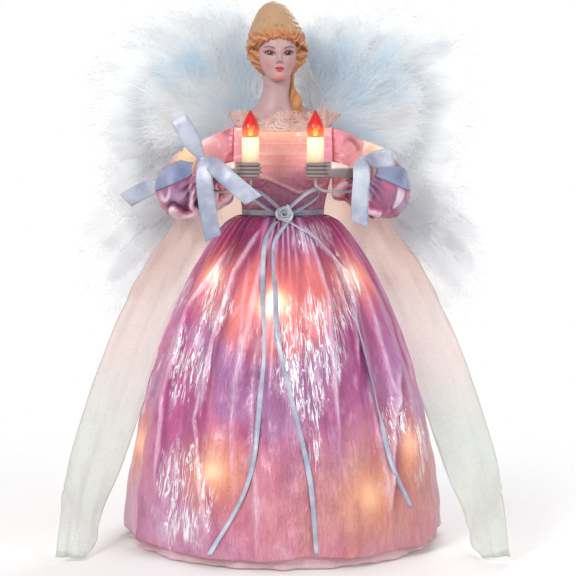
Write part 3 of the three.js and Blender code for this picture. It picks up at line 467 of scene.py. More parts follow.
class Look(Nodes):
    """A material with a principled shader."""

    def __init__(self, name, **values):
        self.material = bpy.data.materials.new(name)
        self.material.use_nodes = True
        super().__init__(self.material.node_tree)
        self.shader = self.tree.nodes["Principled BSDF"]
        self.set(**values)

    def set(self, **values):
        for key, value in values.items():
            self.plug(self.shader.inputs[key.replace("_", " ")], value)

    def bumped(self, height, strength, distance):
        made = self.add("ShaderNodeBump", Height=height, Strength=strength, Distance=distance)
        self.set(Normal=made.outputs["Normal"])

    def lit_by(self, colour, strength):
        self.set(Emission_Color=colour, Emission_Strength=strength)

    def mixed(self, factor, first, second):
        made = self.add("ShaderNodeMixShader", Fac=factor)
        return self.fill(made, {1: first, 2: second})[0]

    def see_through(self, colour, share):
        """The shader, with a share of the light coming through from behind."""
        through = self.add("ShaderNodeBsdfTranslucent", Color=colour)
        return self.mixed(share, self.shader.outputs[0], through.outputs[0])

    def cut_out(self, cover, shown, **clear):
        """What is shown where it covers, and what is behind it elsewhere."""
        empty = self.add("ShaderNodeBsdfTransparent", **clear)
        return self.show(self.mixed(cover, empty.outputs[0], shown))

    def show(self, shown):
        self.plug(self.tree.nodes["Material Output"].inputs["Surface"], shown)
        return self.material


# Camera, lights and floor


def make_camera():
    data = bpy.data.cameras.new("camera")
    data.sensor_width = 36
    data.lens = 116.06
    camera = bpy.data.objects.new("camera", data)
    camera.location = (0, -1.1, 0.25)
    camera.rotation_euler = (math.radians(90 - 5.254), 0, math.radians(-0.154))
    bpy.context.scene.collection.objects.link(camera)
    bpy.context.scene.camera = camera


LIGHT_AIM = Vector((0, 0, 0.16))

# Place, size, power and colour
LIGHTS = {
    "key": ((-0.7, -1.05, 0.85), 0.45, 10.0, (1, 0.98, 0.95)),
    "fill": ((0.9, -0.9, 0.6), 0.6, 5.2, (0.98, 0.99, 1)),
    "rim": ((0.3, 0.9, 0.8), 0.6, 5.6, (1, 1, 1)),
}


def make_lights():
    """A white world that lights the figure at half the strength it shows, and three area lights."""
    scene = bpy.context.scene
    scene.view_settings.view_transform = "Standard"
    scene.world = bpy.data.worlds.new("studio")
    scene.world.use_nodes = True
    nodes = Nodes(scene.world.node_tree)
    background = nodes.tree.nodes["Background"]
    path = nodes.add("ShaderNodeLightPath").outputs
    seen = nodes.maths("MAXIMUM", path["Is Camera Ray"], path["Is Transmission Ray"])
    seen = nodes.maths("MAXIMUM", seen, path["Is Glossy Ray"])
    nodes.plug(background.inputs["Color"], (1, 1, 1, 1))
    nodes.plug(background.inputs["Strength"], nodes.mix_value(seen, 0.5, 1.0))
    for name, (place, size, power, colour) in LIGHTS.items():
        data = bpy.data.lights.new(name, "AREA")
        data.size = size
        data.energy = power
        data.color = colour
        light = bpy.data.objects.new(name, data)
        light.location = place
        light.rotation_euler = (LIGHT_AIM - Vector(place)).to_track_quat("-Z", "Y").to_euler()
        scene.collection.objects.link(light)


def make_floor(material):
    mesh = bpy.data.meshes.new("floor")
    reach = 6.0
    level = -0.0004
    corners = [(x * reach, y * reach, level) for x, y in ((-1, -1), (1, -1), (1, 1), (-1, 1))]
    mesh.from_pydata(corners, [], [(0, 1, 2, 3)])
    mesh.materials.append(material)
    floor = bpy.data.objects.new("floor", mesh)
    bpy.context.scene.collection.objects.link(floor)


# Materials


def floor_material():
    """White floor that fades out away from the figure and so leaves the white surround."""
    look = Look("floor", Roughness=0.9)
    place = look.here()
    grain = look.noise(place, scale=3.0, detail=2.0)
    away = look.add("ShaderNodeVectorMath", {"operation": "LENGTH"}, Vector=place).outputs["Value"]
    look.set(Base_Color=look.mix(grain, tone(252, 252, 252), tone(255, 255, 255)))
    look.set(Alpha=look.remap(away, (0.16, 0.42), (1.0, 0.0)))
    return look.material


def plastic_material(name, colour, roughness):
    """Moulded plastic: faint mottling and a fine grain."""
    look = Look(name, Roughness=roughness)
    mottle = look.noise(look.here(), scale=60.0, detail=3.0)
    look.set(Base_Color=look.mix(mottle, rgba(srgb(*colour) * 0.93), tone(*colour)))
    look.bumped(look.noise(look.here(), scale=900.0, detail=2.0), 0.15, 0.0002)
    return look.material


def card_material():
    """Backing card: paper fibres."""
    look = Look("wing_card", Roughness=0.85)
    fibres = look.noise(look.scaled(look.here(), 1.0, 1.0, 0.25), scale=700.0, detail=5.0)
    look.set(Base_Color=look.mix(fibres, tone(226, 223, 214), tone(246, 244, 238)))
    look.bumped(fibres, 0.3, 0.0003)
    return look.material


def wire_material():
    """Drawn steel wire: fine marks along the wire."""
    look = Look("steel_wire", Metallic=1.0)
    marks = look.noise(look.scaled(look.here(), 1.0, 1.0, 0.1), scale=1500.0, detail=3.0)
    look.set(Base_Color=look.mix(marks, tone(150, 150, 152), tone(196, 196, 198)))
    look.set(Roughness=look.remap(marks, (0.2, 0.8), (0.25, 0.45)))
    return look.material


def lamp_material():
    """Small lit lamp: a warm, uneven glow."""
    look = Look("lamp_glass", Roughness=0.1, Transmission_Weight=0.3)
    glow = look.noise(look.here(), scale=120.0, detail=1.0)
    tint = look.mix(glow, tone(255, 214, 150), tone(255, 244, 214))
    look.set(Base_Color=tint)
    look.lit_by(tint, 2.0)
    return look.material


def satin_material():
    """Satin: a painted tint, which holds painted highlights on fold crests and painted shade between them, a
    woven sheen, painted lamp light that glows where a lamp is near, and painted light along the sleeves'
    seams.
    """
    look = Look("gown_satin", Metallic=0.1, Coat_Weight=0.1, Coat_Roughness=0.4)
    slubs = look.noise(look.scaled(look.here(), 1.0, 1.0, 0.3), scale=700.0, detail=3.0)
    wear = look.noise(look.here(), scale=110.0, detail=4.0)
    woven = look.remap(slubs, (0.25, 0.75), (0.0, 0.15))
    look.set(Base_Color=look.shade(woven, look.attribute("tint"), 150, 90, 140))
    look.set(Roughness=look.spread(wear, (0.3, 0.44)))
    look.lit_by(look.attribute("glow"), 1.0)
    look.bumped(wear, 0.35, 0.0014)
    return look.material


def foil_lines(look, cloth, scale, wander, breadth):
    """Thin lines where a stretched noise passes its middle value."""
    place = look.scaled(cloth, *scale)
    field = look.add("ShaderNodeTexNoise", Vector=place, Scale=1.0, Detail=2.0, Distortion=wander)
    away = look.maths("ABSOLUTE", look.maths("SUBTRACT", field.outputs["Fac"], 0.5))
    return look.remap(away, (breadth * 0.4, breadth), (1.0, 0.0))


def foil_material():
    """The gown's satin with crinkled foil on it: thin wandering lines in upright patches, painted shade and a
    painted pale sheen that follow the crinkles, and painted lamp light as a glow.
    """
    look = Look("gown_foil", Coat_Weight=0.2, Coat_Roughness=0.25)
    cloth = look.attribute("cloth", "Vector")
    patch = look.attribute("foil", "Fac")
    ragged = look.noise(look.scaled(cloth, 120.0, 120.0, 40.0), scale=1.0, detail=4.0, roughness=0.65)
    gate = look.maths("ADD", patch, look.maths("MULTIPLY", ragged, 1.2))
    coarse = foil_lines(look, cloth, (240.0, 240.0, 26.0), wander=1.1, breadth=0.034)
    fine = foil_lines(look, cloth, (430.0, 430.0, 55.0), wander=0.9, breadth=0.04)
    lines = look.maths("MAXIMUM", coarse, look.maths("MULTIPLY", fine, 0.8))
    foil = look.maths("MULTIPLY", lines, look.remap(gate, (0.9, 1.15)))
    weave = look.noise(look.scaled(cloth, 1500.0, 1500.0, 300.0), scale=1.0, detail=2.0)
    crease = look.noise(look.scaled(cloth, 90.0, 90.0, 44.0), scale=1.0, detail=5.0, roughness=0.6)
    colour = look.shade(look.spread(weave, (0.0, 0.16)), look.attribute("tint"), 150, 90, 130)
    # Painted shade and a painted pale sheen, following the same noise as the crinkles' bumps.
    colour = look.shade(look.remap(crease, (0.45, 0.7), (0.0, 0.4)), colour, 190, 110, 170)
    colour = look.mix(look.remap(crease, (0.3, 0.44), (0.22, 0.0)), colour, tone(236, 222, 240))
    # The foil lines are near white: partly the foil's own silver, partly a painted glint.
    look.set(
        Base_Color=look.mix(foil, colour, tone(244, 238, 247)),
        Roughness=look.mix_value(foil, 0.33, 0.22),
        Metallic=look.mix_value(foil, 0.08, 0.25),
    )
    look.lit_by(look.attribute("glow"), 1.0)
    look.bumped(look.maths("ADD", look.maths("MULTIPLY", lines, 0.35), crease), 0.6, 0.0018)
    return look.material


def ribbon_material(name, low, high):
    """Satin ribbon: fine ribs and a sheen that drifts between two tones."""
    look = Look(name, Coat_Weight=0.2, Coat_Roughness=0.25)
    ribs = look.noise(look.scaled(look.here(), 1.0, 1.0, 4.0), scale=900.0, detail=2.0)
    drift = look.noise(look.here(), scale=70.0, detail=4.0)
    look.set(Base_Color=look.mix(look.spread(drift), tone(*low), tone(*high)))
    look.set(Roughness=look.spread(ribs, (0.26, 0.4)))
    look.bumped(ribs, 0.15, 0.00015)
    return look.material


def sheer_material(name, thin, dense):
    """Organza: light comes through it, and it shows what is behind, less so where threads bunch. It glows
    with painted light.
    """
    look = Look(name, Roughness=0.55, Sheen_Weight=0.2, Sheen_Roughness=0.4)
    drift = look.noise(look.scaled(look.here(), 1.0, 1.0, 0.5), scale=40.0, detail=4.0)
    threads = look.noise(look.here(), scale=1500.0, detail=1.0)
    bunched = look.mix(drift, tone(*thin), tone(*dense))
    colour = look.mix(1.0, look.attribute("tint"), bunched, "MULTIPLY")
    look.set(Base_Color=colour)
    look.lit_by(look.attribute("glow"), 1.0)
    look.bumped(drift, 0.3, 0.0015)
    uneven = look.maths("ADD", look.spread(drift, (-0.08, 0.08)), look.spread(threads, (-0.05, 0.05)))
    cover = look.maths("ADD", uneven, look.attribute("cover", "Fac"))
    return look.cut_out(look.maths("MULTIPLY", cover, 0.85), look.see_through(colour, 0.4))


def lace_material():
    """Cotton lace: fuzzy thread that lets light through."""
    look = Look("lace", Roughness=0.8, Sheen_Weight=0.2)
    threads = look.noise(look.here(), scale=1400.0, detail=3.0)
    drift = look.noise(look.here(), scale=90.0, detail=3.0)
    tint = look.mix(look.spread(drift), tone(238, 202, 192), tone(252, 238, 232))
    colour = look.shade(look.spread(threads, (0.0, 0.2)), tint, 214, 176, 170)
    look.set(Base_Color=colour)
    look.bumped(threads, 0.4, 0.0003)
    return look.show(look.see_through(colour, 0.35))


def porcelain_material():
    """Painted bisque porcelain: fine tooth, faint mottling."""
    look = Look("porcelain", Specular_IOR_Level=0.35, Subsurface_Weight=0.08)
    look.set(Subsurface_Radius=(0.004, 0.002, 0.0015))
    mottle = look.noise(look.here(), scale=160.0, detail=3.0)
    look.set(Base_Color=look.shade(look.spread(mottle, (0.0, 0.1)), look.attribute("tint"), 190, 140, 130))
    look.set(Roughness=look.spread(mottle, (0.4, 0.52)))
    look.bumped(look.noise(look.here(), scale=2600.0, detail=2.0), 0.06, 0.0001)
    return look.material


def candle_material():
    """Cream candle tube, lit from inside and brightest at its top."""
    look = Look("candle_plastic", Roughness=0.45)
    rise = look.remap(look.height(), (0.217, 0.2375))
    mottle = look.noise(look.here(), scale=150.0, detail=2.0)
    foot = look.mix(mottle, tone(206, 170, 128), tone(222, 188, 146))
    look.set(Base_Color=look.mix(rise, foot, tone(246, 230, 200)))
    look.lit_by(look.mix(rise, tone(140, 84, 40), tone(255, 232, 184)), 0.4)
    return look.material


def flame_material():
    """Red tinted glass, clear enough to show the lit filament in it."""
    look = Look("flame_glass", Roughness=0.12, Coat_Weight=0.6, Coat_Roughness=0.05)
    rise = look.remap(look.height(), (0.239, 0.2468))
    uneven = look.noise(look.here(), scale=260.0, detail=2.0)
    red = look.mix(uneven, tone(190, 8, 24), tone(216, 20, 34))
    colour = look.mix(rise, tone(255, 176, 104), red)
    look.set(Base_Color=colour)
    look.lit_by(colour, 0.2)
    tinge = look.mix(rise, tone(255, 214, 160), tone(255, 110, 84))
    return look.cut_out(look.mix_value(rise, 0.35, 0.55), look.shader.outputs[0], Color=tinge)


def filament_material():
    """Glowing filament: white hot at its foot, orange at its tip."""
    look = Look("filament", Roughness=0.5)
    flicker = look.noise(look.here(), scale=400.0, detail=1.0)
    hot = look.mix(flicker, tone(255, 222, 140), tone(255, 244, 196))
    colour = look.mix(look.remap(look.height(), (0.2395, 0.2485)), hot, tone(255, 120, 50))
    look.set(Base_Color=colour)
    look.lit_by(colour, 1.6)
    return look.material


def feather_material():
    """Feather: light comes through it, barbs streak it, and its edges thin out between the barbs."""
    look = Look("feather", Roughness=0.8, Sheen_Weight=0.2, Sheen_Roughness=0.5)
    drift = look.noise(look.here(), scale=24.0, detail=3.0)
    vane = look.scaled(look.attribute("vane", "Vector"), 26.0, 1.2, 1.0)
    barbs = look.noise(vane, scale=1.0, detail=3.0)
    tint = look.mix(look.spread(drift), tone(229, 231, 234), tone(248, 249, 249))
    colour = look.shade(look.remap(barbs, (0.4, 0.65), (0.0, 0.16)), tint, 206, 211, 217)
    look.set(Base_Color=colour)
    thin = look.maths("MULTIPLY", look.attribute("cover", "Fac"), look.spread(barbs, (1.25, 0.8)))
    return look.cut_out(look.remap(thin, (0.06, 0.8)), look.see_through(colour, 0.45))


def down_material():
    """Marabou down: fine white barbs with a bluish shade that pass light on to each other."""
    look = Look("marabou", Roughness=0.9, Sheen_Weight=0.3, Sheen_Roughness=0.5)
    drift = look.noise(look.here(), scale=34.0, detail=3.0)
    colour = look.mix(look.spread(drift), tone(236, 246, 253), tone(253, 254, 255))
    look.set(Base_Color=colour)
    return look.show(look.see_through(colour, 0.5))


# Gown

PLEATS = 12
PLEAT_DEPTH = 2.6
GATHER_DEPTH = 1.7

# Long creases on the front: places (x, height) from the waist down, and how far they stand out
FOLD_LINES = [
    ([(-12, 187), (-27, 162), (-40, 123), (-47, 84)], 3.6),
    ([(-6, 186), (-14, 160), (-20, 128), (-26, 100)], 2.6),
    ([(10, 189), (35, 162), (40, 145), (43, 112)], 3.4),
    ([(14, 184), (24, 150), (27, 110), (30, 70)], 2.4),
    ([(45, 172), (63, 140), (64, 88), (61, 30)], 3.4),
    ([(-30, 176), (-52, 140), (-66, 92), (-72, 40)], 3.2),
    ([(-4, 184), (-4, 150), (-6, 120), (-8, 90)], 1.8),
    ([(-44, 110), (-50, 80), (-46, 46), (-40, 14)], 2.4),
    ([(52, 166), (76, 128), (84, 84), (86, 40)], 2.6),
]

# How strongly each lamp of the string shines through the gown
LAMP_POWER = [0.7, 1.0, 0.9, 0.5, 0.7, 3.1, 0.9, 0.9]

# Patches on the front of the gown: x, height, half width, half height, then the foil's share
FOIL_PATCHES = [
    (14, 116, 20, 36, 0.6),
    (35, 150, 10, 20, 0.6),
    (17, 181, 12, 8, 0.62),
    (-38, 145, 9, 19, 0.56),
    (-55, 109, 12, 22, 0.62),
    (-57, 37, 17, 30, 0.6),
    (65, 78, 9, 15, 0.62),
    (16, 62, 8, 16, 0.46),
    (80, 60, 6, 22, 0.5),
]

# The same, then the tint and its share. Some are painted light and shade: the patches at x 52 and x -18 are
# painted shade in fold valleys, and the peach one at x 54 is painted lamp light.
TINT_PATCHES = [
    (-27, 164, 16, 22, (208, 72, 138), 0.8),
    (52, 129, 11, 34, (184, 66, 134), 0.8),
    (36, 180, 12, 10, (214, 70, 146), 0.8),
    (-18, 112, 17, 20, (176, 108, 162), 0.6),
    (-66, 70, 16, 30, (206, 104, 160), 0.6),
    (-13, 40, 26, 26, (224, 140, 164), 0.7),
    (54, 36, 42, 30, (216, 152, 132), 0.85),
    (-63, 24, 20, 22, (204, 152, 194), 0.6),
    (8, 172, 9, 14, (190, 70, 150), 0.7),
    (14, 108, 24, 40, (152, 90, 138), 0.8),
]


def gown_fall(height):
    """0 at the top of the gown, 1 at the petticoat's hem."""
    return np.clip((GOWN_TOP - height) / (GOWN_TOP - PETTICOAT_HEM), 0, 1)


def gown_point(angle, height, shift):
    """A point on the bell of the gown, shifted out, which is oval at the waist and round below."""
    fall = gown_fall(height)
    bell = (1 - (1 - fall) ** 1.6) ** 0.75
    radius = WAIST_GATHER + (HEM_RADIUS - WAIST_GATHER) * bell + shift
    depth = 0.84 + 0.16 * smooth(fall, 0, 0.35)
    return np.stack([radius * np.sin(angle), -radius * depth * np.cos(angle), height + 0 * angle], axis=-1)


def pleat_reach(fall):
    return PLEAT_DEPTH * (0.12 + 0.88 * smooth(fall, 0, 0.3)) * (1 - 0.3 * fall)


def pleat_wave(angle):
    """The pleats' wave round the gown, unevenly spaced."""
    return np.cos(PLEATS * angle + 1.0 * np.sin(3 * angle + 0.4) + 0.5 * np.sin(5 * angle))


def waist_pinch(angle):
    """The small gathers round the waist, unevenly spaced and unevenly deep."""
    deep = 0.65 + 0.35 * np.sin(4 * angle + 1.3)
    return deep * (1 - np.abs(np.sin(21 * angle + 2.2 * np.sin(5 * angle) + 1.2 * np.sin(8 * angle))))


def drape_folds(angle, fall):
    """Sharp crests of cloth that leave the waist at uneven places and die out lower down."""
    rng = np.random.default_rng(3)
    count = 46
    radius = WAIST_GATHER + (HEM_RADIUS - WAIST_GATHER) * fall
    total = np.zeros(np.shape(angle))
    for k in range(count):
        start_angle = TURN * (k + rng.uniform(-0.4, 0.4)) / count
        start = rng.uniform(-0.1, 0.1)
        end = rng.uniform(0.4, 1.3)
        drift = rng.normal(0, 0.1)
        reach = rng.uniform(0.5, 2.1)
        width = rng.uniform(2.0, 4.5)
        middle = start_angle + drift * fall + 0.02 * np.sin(9 * fall + k)
        away = np.abs(wrapped(angle - middle)) * radius
        life = smooth(fall, start, start + 0.2) * (1 - smooth(fall, end - 0.3, end))
        total = np.maximum(total, reach * life * np.exp(-away / width))
    return total * (0.3 + 0.7 * smooth(fall, 0.0, 0.25))


def fold_places(angle, height):
    """For each long crease: how far it stands out at a height, and how far each point is to its right."""
    front = np.cos(angle) > 0
    radius = gown_point(np.pi / 2 + 0 * angle, height, 0.0)[..., 0]
    for line, reach in FOLD_LINES:
        sides, heights = np.array(line[::-1], float).T
        alive = smooth(height, heights[0] - 20, heights[0] + 25)
        alive = alive * (1 - smooth(height, heights[-1] - 10, heights[-1] + 4))
        share_round = np.interp(height, heights, sides) / radius
        alive = alive * (1 - smooth(np.abs(share_round), 0.8, 0.95))
        crease = np.arcsin(np.clip(share_round, -0.97, 0.97))
        yield reach * np.where(front, alive, 0), radius * wrapped(angle - crease)


def fold_ridges(angle, height):
    """The long creases themselves."""
    total = np.zeros(np.shape(angle))
    for reach, right in fold_places(angle, height):
        total = np.maximum(total, reach * np.exp(-np.abs(right) / 2.0))
    return total


def fold_shadows(angle, height):
    """The dim strip on the far side of each long crease."""
    total = np.zeros(np.shape(angle))
    for reach, right in fold_places(angle, height):
        strip_beside = smooth(right, 0.8, 2.5) * (1 - smooth(right, 3.5, 11.0))
        total = np.maximum(total, 0.3 * reach * strip_beside)
    return np.clip(total, 0, 1)


def gown_folds(angle, height):
    """How far the cloth of the overskirt stands out from the bell."""
    fall = gown_fall(height)
    main = pleat_reach(fall) * pleat_wave(angle)
    swirl = 29 * angle + 2.0 * np.sin(2 * angle + 1.1) + 3.0 * fall
    second = 0.3 * smooth(fall, 0.03, 0.3) * (1 + np.cos(swirl))
    gathers = GATHER_DEPTH * waist_pinch(angle) * (1 - smooth(fall, 0.02, 0.26)) * smooth(fall, 0.0, 0.02)
    place = np.stack([70 * np.sin(angle), 70 * np.cos(angle), 0.6 * height + 0 * angle], axis=-1)
    dents = 0.4 * smooth(fall, 0.05, 0.3) * (1 + np.clip(ripple(place, 8, 13.0), -1, 1))
    return main + second + gathers + dents + drape_folds(angle, fall) + fold_ridges(angle, height)


def lamp_light(points, spread):
    """How strongly the lamps under the gown shine through cloth at each point."""
    total = np.zeros(points.shape[:-1])
    for k, power in zip(LAMPS, LAMP_POWER):
        low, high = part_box(f"lamp_{k}")
        centre = np.array((low + high) / 2) / MM
        angle = np.array(math.atan2(centre[0], -centre[1]))
        lit_place = gown_point(angle, np.array(centre[2]), 3.0)
        away = np.linalg.norm(points - lit_place, axis=-1)
        total += power * np.exp(-((away / spread) ** 2))
    return total


def patch_distance(points, x, height, half_width, half_height, drift=0.0):
    """Squared distance from the middle of an oval patch on the front, which is endless at the back."""
    across = (points[..., 0] + 3 * drift - x) / half_width
    up = (points[..., 2] + 6 * drift - height) / half_height
    return np.where(points[..., 1] < 0, across**2 + up**2, np.inf)


def skirt_tint(angle, height, points):
    """Pink, magenta and lavender that drift into each other, with painted lamp light in coral and amber near
    the lamps, painted highlights on fold crests and waist gathers, and painted shade beside the creases,
    between the gathers and in the pleats' valleys.
    """
    fall = gown_fall(height)
    stretched = points * np.array([1, 1, 0.45])
    drift = ripple(stretched, 21, 40.0)
    small = ripple(stretched, 34, 15.0)
    drifts = [
        (smooth(drift + 0.5 * small, -0.2, 1.1), (196, 78, 148)),
        (0.7 * smooth(-drift + 0.5 * small, 0.1, 1.1), (184, 146, 198)),
        (0.7 * smooth(-height, -84, -44), (208, 142, 156)),
    ]
    for *oval, tint, share in TINT_PATCHES:
        drifts.append((share * np.exp(-0.7 * patch_distance(points, *oval, drift=small)), tint))
    # Painted lamp light: coral high up and amber lower down, laid into the tint near the lamps.
    lamp_lit_tint = layered(srgb(242, 128, 112), [(smooth(fall, 0.35, 0.75), (220, 148, 108))])
    near_lamps = 0.75 * smooth(lamp_light(points, 25.0), 0.12, 0.9)
    colour = blend_colour(layered(srgb(216, 124, 172), drifts), lamp_lit_tint, near_lamps)
    pinch = waist_pinch(angle)
    waist = 1 - smooth(fall, 0.02, 0.22)
    crest = np.maximum(drape_folds(angle, fall), fold_ridges(angle, height))
    crest = np.maximum(smooth(crest, 0.7, 2.2), waist * smooth(pinch, 0.45, 0.85))
    valley_shade = smooth(-pleat_wave(angle), 0.2, 1.0) * smooth(fall, 0.0, 0.2) * (1 - smooth(fall, 0.5, 0.9))
    # Painted shade beside the long creases, between the waist gathers and in the pleats' valleys; painted
    # highlight on the crests.
    folds = [
        (0.75 * fold_shadows(angle, height), (150, 46, 112)),
        (0.8 * waist * (1 - smooth(pinch, 0.08, 0.4)), (146, 34, 98)),
        (0.65 * crest, (242, 206, 232)),
        (0.35 * valley_shade, (140, 58, 116)),
    ]
    return layered(colour, folds)


def foil_cover(height, points):
    """Where the foil shows: patches on the front, and fainter ones all round."""
    drift = ripple(points * np.array([1, 1, 0.4]), 55, 34.0)
    back = smooth(points[..., 1], -30, 10)
    cover = (0.12 + 0.4 * back) * smooth(drift, 0.2, 1.2) * smooth(gown_fall(height), 0.05, 0.25)
    for *oval, share in FOIL_PATCHES:
        cover = np.maximum(cover, share * np.exp(-0.5 * patch_distance(points, *oval) ** 1.5))
    return cover


def make_skirt(material):
    columns, rows = 640, 190
    angles = around(columns)
    falls = np.linspace(0, 1, rows)[:, None] ** 1.15
    hem = SKIRT_HEM + 0.9 * np.sin(5 * angles + 0.6) + 0.6 * np.sin(11 * angles)
    height = GOWN_TOP + (hem - GOWN_TOP) * falls
    angle = np.broadcast_to(angles, height.shape)
    points = gown_point(angle, height, gown_folds(angle, height))
    faces = grid_faces(rows, columns, looped=True)
    made = piece("gown_skirt", points, faces, material, "root", ["skirt"])
    near, wide = lamp_light(points, 7.5), lamp_light(points, 20.0)
    paint(made, "tint", skirt_tint(angle, height, points))
    # Painted lamp light shining through the satin: a wide orange glow and small hot spots near each lamp.
    paint(made, "glow", glow_of(0.16 * wide, 255, 132, 72) + glow_of(0.6 * near, 255, 228, 180))
    paint(made, "foil", foil_cover(height, points))
    roll = 0.08
    note(made, "cloth", np.stack([roll * np.cos(angle), roll * np.sin(angle), height * MM], axis=-1))
    return thicken(made, 0.3)


def make_petticoat(material):
    columns, rows = 420, 70
    angle, height = np.meshgrid(around(columns), np.linspace(190, PETTICOAT_HEM, rows))
    fall = gown_fall(height)
    wave = 0.5 * smooth(fall, 0.6, 1) * np.cos(24 * angle + np.sin(5 * angle))
    ruffle = 1.1 * np.cos(17 * angle + 1.3 * np.sin(4 * angle)) + 0.6 * np.cos(41 * angle)
    wave += smooth(fall, 0.85, 1) * ruffle
    points = gown_point(angle, height, wave - 1.6 - pleat_reach(fall))
    faces = grid_faces(rows, columns, looped=True)
    made = piece("petticoat", points, faces, material, "root", ["underskirt"])
    edge = smooth(-height, -2.6, -1.6)
    paint(made, "tint", blend_colour(srgb(250, 228, 234), srgb(255, 252, 253), edge))
    # Painted light: an even pink glow over the organza.
    paint(made, "glow", glow_of(0.1 + 0 * height, 255, 205, 216))
    paint(made, "cover", 0.6 + 0.4 * edge)
    return thicken(made, 0.25)


# Bodice and collar

# Height over the cone, half width, half depth and the middle's place in depth
TORSO = [
    (0.35, 22, 18, 0),
    (9, 22, 18, 0),
    (22, 24.7, 20, -1),
    (33, 26.5, 22, -2),
    (43, 27.5, 19.5, -0.5),
    (51, 27, 16, 0.5),
    (57, 22, 11.5, 1),
]

# Slack folds across the bodice: height at the middle, rise to the sides and share
BODICE_SWAGS = [(231.5, 0.010, 1.0), (224.5, 0.016, 0.8), (237.5, 0.006, 0.7), (217.0, 0.022, 0.7)]


def torso_point(angle, height, shift, square=2.0):
    """A point on the torso; the higher the square, the boxier the section."""
    rise = np.ravel(height) - CONE_HEIGHT
    half_width, half_depth, centre = loft(TORSO, rise).T.reshape(3, *np.shape(height))
    power = 2 / square
    side = np.sign(np.sin(angle)) * np.abs(np.sin(angle)) ** power
    face = np.sign(np.cos(angle)) * np.abs(np.cos(angle)) ** power
    x = (half_width + shift) * side
    y = centre - (half_depth + shift) * face
    return np.stack([x, y, height + 0 * angle], axis=-1)


def neckline(angle):
    """Height of the bodice's upper edge, which rises to the shoulders."""
    return 243.4 + 2.2 * np.abs(np.sin(angle)) ** 4


def bodice_swags(points):
    """Slack folds that hang across the bodice: sharper below, softer above."""
    total = np.zeros(points.shape[:-1])
    wander = 2.0 * ripple(points, 48, 22.0)
    for height, rise, share in BODICE_SWAGS:
        above = points[..., 2] - height - rise * points[..., 0] ** 2 - wander
        fold = np.where(above > 0, np.exp(-above / 4.5), np.exp(above / 1.6))
        total = np.maximum(total, share * fold * (1 - smooth(np.abs(points[..., 0]), 17, 26)))
    return total


def bodice_tint(points, crest):
    """Mauve at the waist, salmon above, painted golden candle light on the neckline, painted highlights on
    the fold crests and painted shade between them.
    """
    x, height = points[..., 0], points[..., 2]
    side = smooth(np.abs(x), 16, 27)
    layers = [
        (smooth(height + 4 * ripple(points, 61, 18.0), 198, 238), (236, 160, 158)),
        (0.6 * side, (226, 142, 172)),
        (0.6 * bump(height, 241, 7) * bump(x, -4, 20), (250, 196, 158)),
        # Painted highlight on the fold crests, painted shade between the folds.
        (0.45 * smooth(crest, 0.55, 1.0), (250, 208, 194)),
        (0.45 * smooth(-crest, -0.3, 0.0) * (1 - side), (150, 84, 112)),
    ]
    return layered(srgb(176, 106, 138), layers)


def bodice_glow(points, front):
    """Painted candle light on the neckline and on the breast, and painted pink light beside the sleeves, at
    the seams.
    """
    x, height = np.abs(points[..., 0]), points[..., 2]
    warm = 0.2 * bump(height, 242.5, 4) * front + 0.05 * bump(height, 230, 9) * front
    seam_light_on_bodice = 0.1 * smooth(x, 25.5, 28) * smooth(height, 205, 215)
    return glow_of(warm, 255, 170, 100) + glow_of(seam_light_on_bodice, 240, 140, 150)


def make_bodice(material):
    """Gathered at the waist, draped over the breast, and brought out to the sleeves at the armholes."""
    columns, rows = 420, 120
    angle, share = np.meshgrid(around(columns), np.linspace(0, 1, rows))
    height = BODICE_LOW + (neckline(angle) - BODICE_LOW) * share
    level = np.minimum(height, BODICE_TOP)
    gathers = 0.45 * (1 - smooth(share, 0.05, 0.5)) * (1 + np.cos(30 * angle + 2.5 * np.sin(3 * angle)))
    front = smooth(np.cos(angle), 0.1, 0.8)
    square = 2.0 + 2.0 * smooth(share, 0.25, 0.6) + 10.0 * bump(height, 228, 9)
    plain = torso_point(angle, level, 0.0, square)
    slack = plain + UP * (0.016 * plain[..., 0] ** 2)[..., None]
    broad_folds = 1 - np.abs(ripple(slack * np.array([0.45, 1, 1.1]), 44, 17.0))
    small_folds = 1 - np.abs(ripple(slack * np.array([0.6, 1, 1.0]), 47, 9.0))
    crest = np.maximum(smooth(broad_folds, 0.35, 1.0), bodice_swags(plain))
    drape = front * smooth(share, 0.15, 0.4) * (1.8 * crest + 0.5 * smooth(small_folds, 0.4, 1.0))
    drape = drape * (1 - smooth(share, 0.9, 1.0))
    tucks = 0.25 * (1 - front) * (1 + np.cos(24 * angle + 3 * share))
    points = torso_point(angle, level, 0.75 + gathers + drape + tucks, square)
    side = np.abs(points[..., 0])
    reach = np.maximum(ARMHOLE - side, 0) * smooth(side, 19, 25) * smooth(height, 206, 222)
    points[..., 0] = np.sign(points[..., 0]) * np.minimum(side + reach, ARMHOLE)
    points[..., 2] = height
    faces = grid_faces(rows, columns, looped=True)
    middles = points.reshape(-1, 3)[faces].mean(axis=1)
    hole = np.hypot(middles[:, 1] - SHOULDER[1], middles[:, 2] - SHOULDER[2]) < 4.6
    kept = faces[~(hole & (np.abs(middles[:, 0]) > 20))]
    made = piece("gown_bodice", points, kept, material, "root", ["bodice"])
    paint(made, "tint", bodice_tint(points, front * crest))
    paint(made, "glow", bodice_glow(points, front))
    return thicken(made, 0.35)


LACE_FLOWERS = 21

# Where the collar stands higher: angle from the front, half width and share of its height
COLLAR_LOBES = [(0.88, 0.36, 0.5), (-0.9, 0.34, 0.32), (0.1, 0.36, 0.36), (-0.42, 0.14, -0.2)]


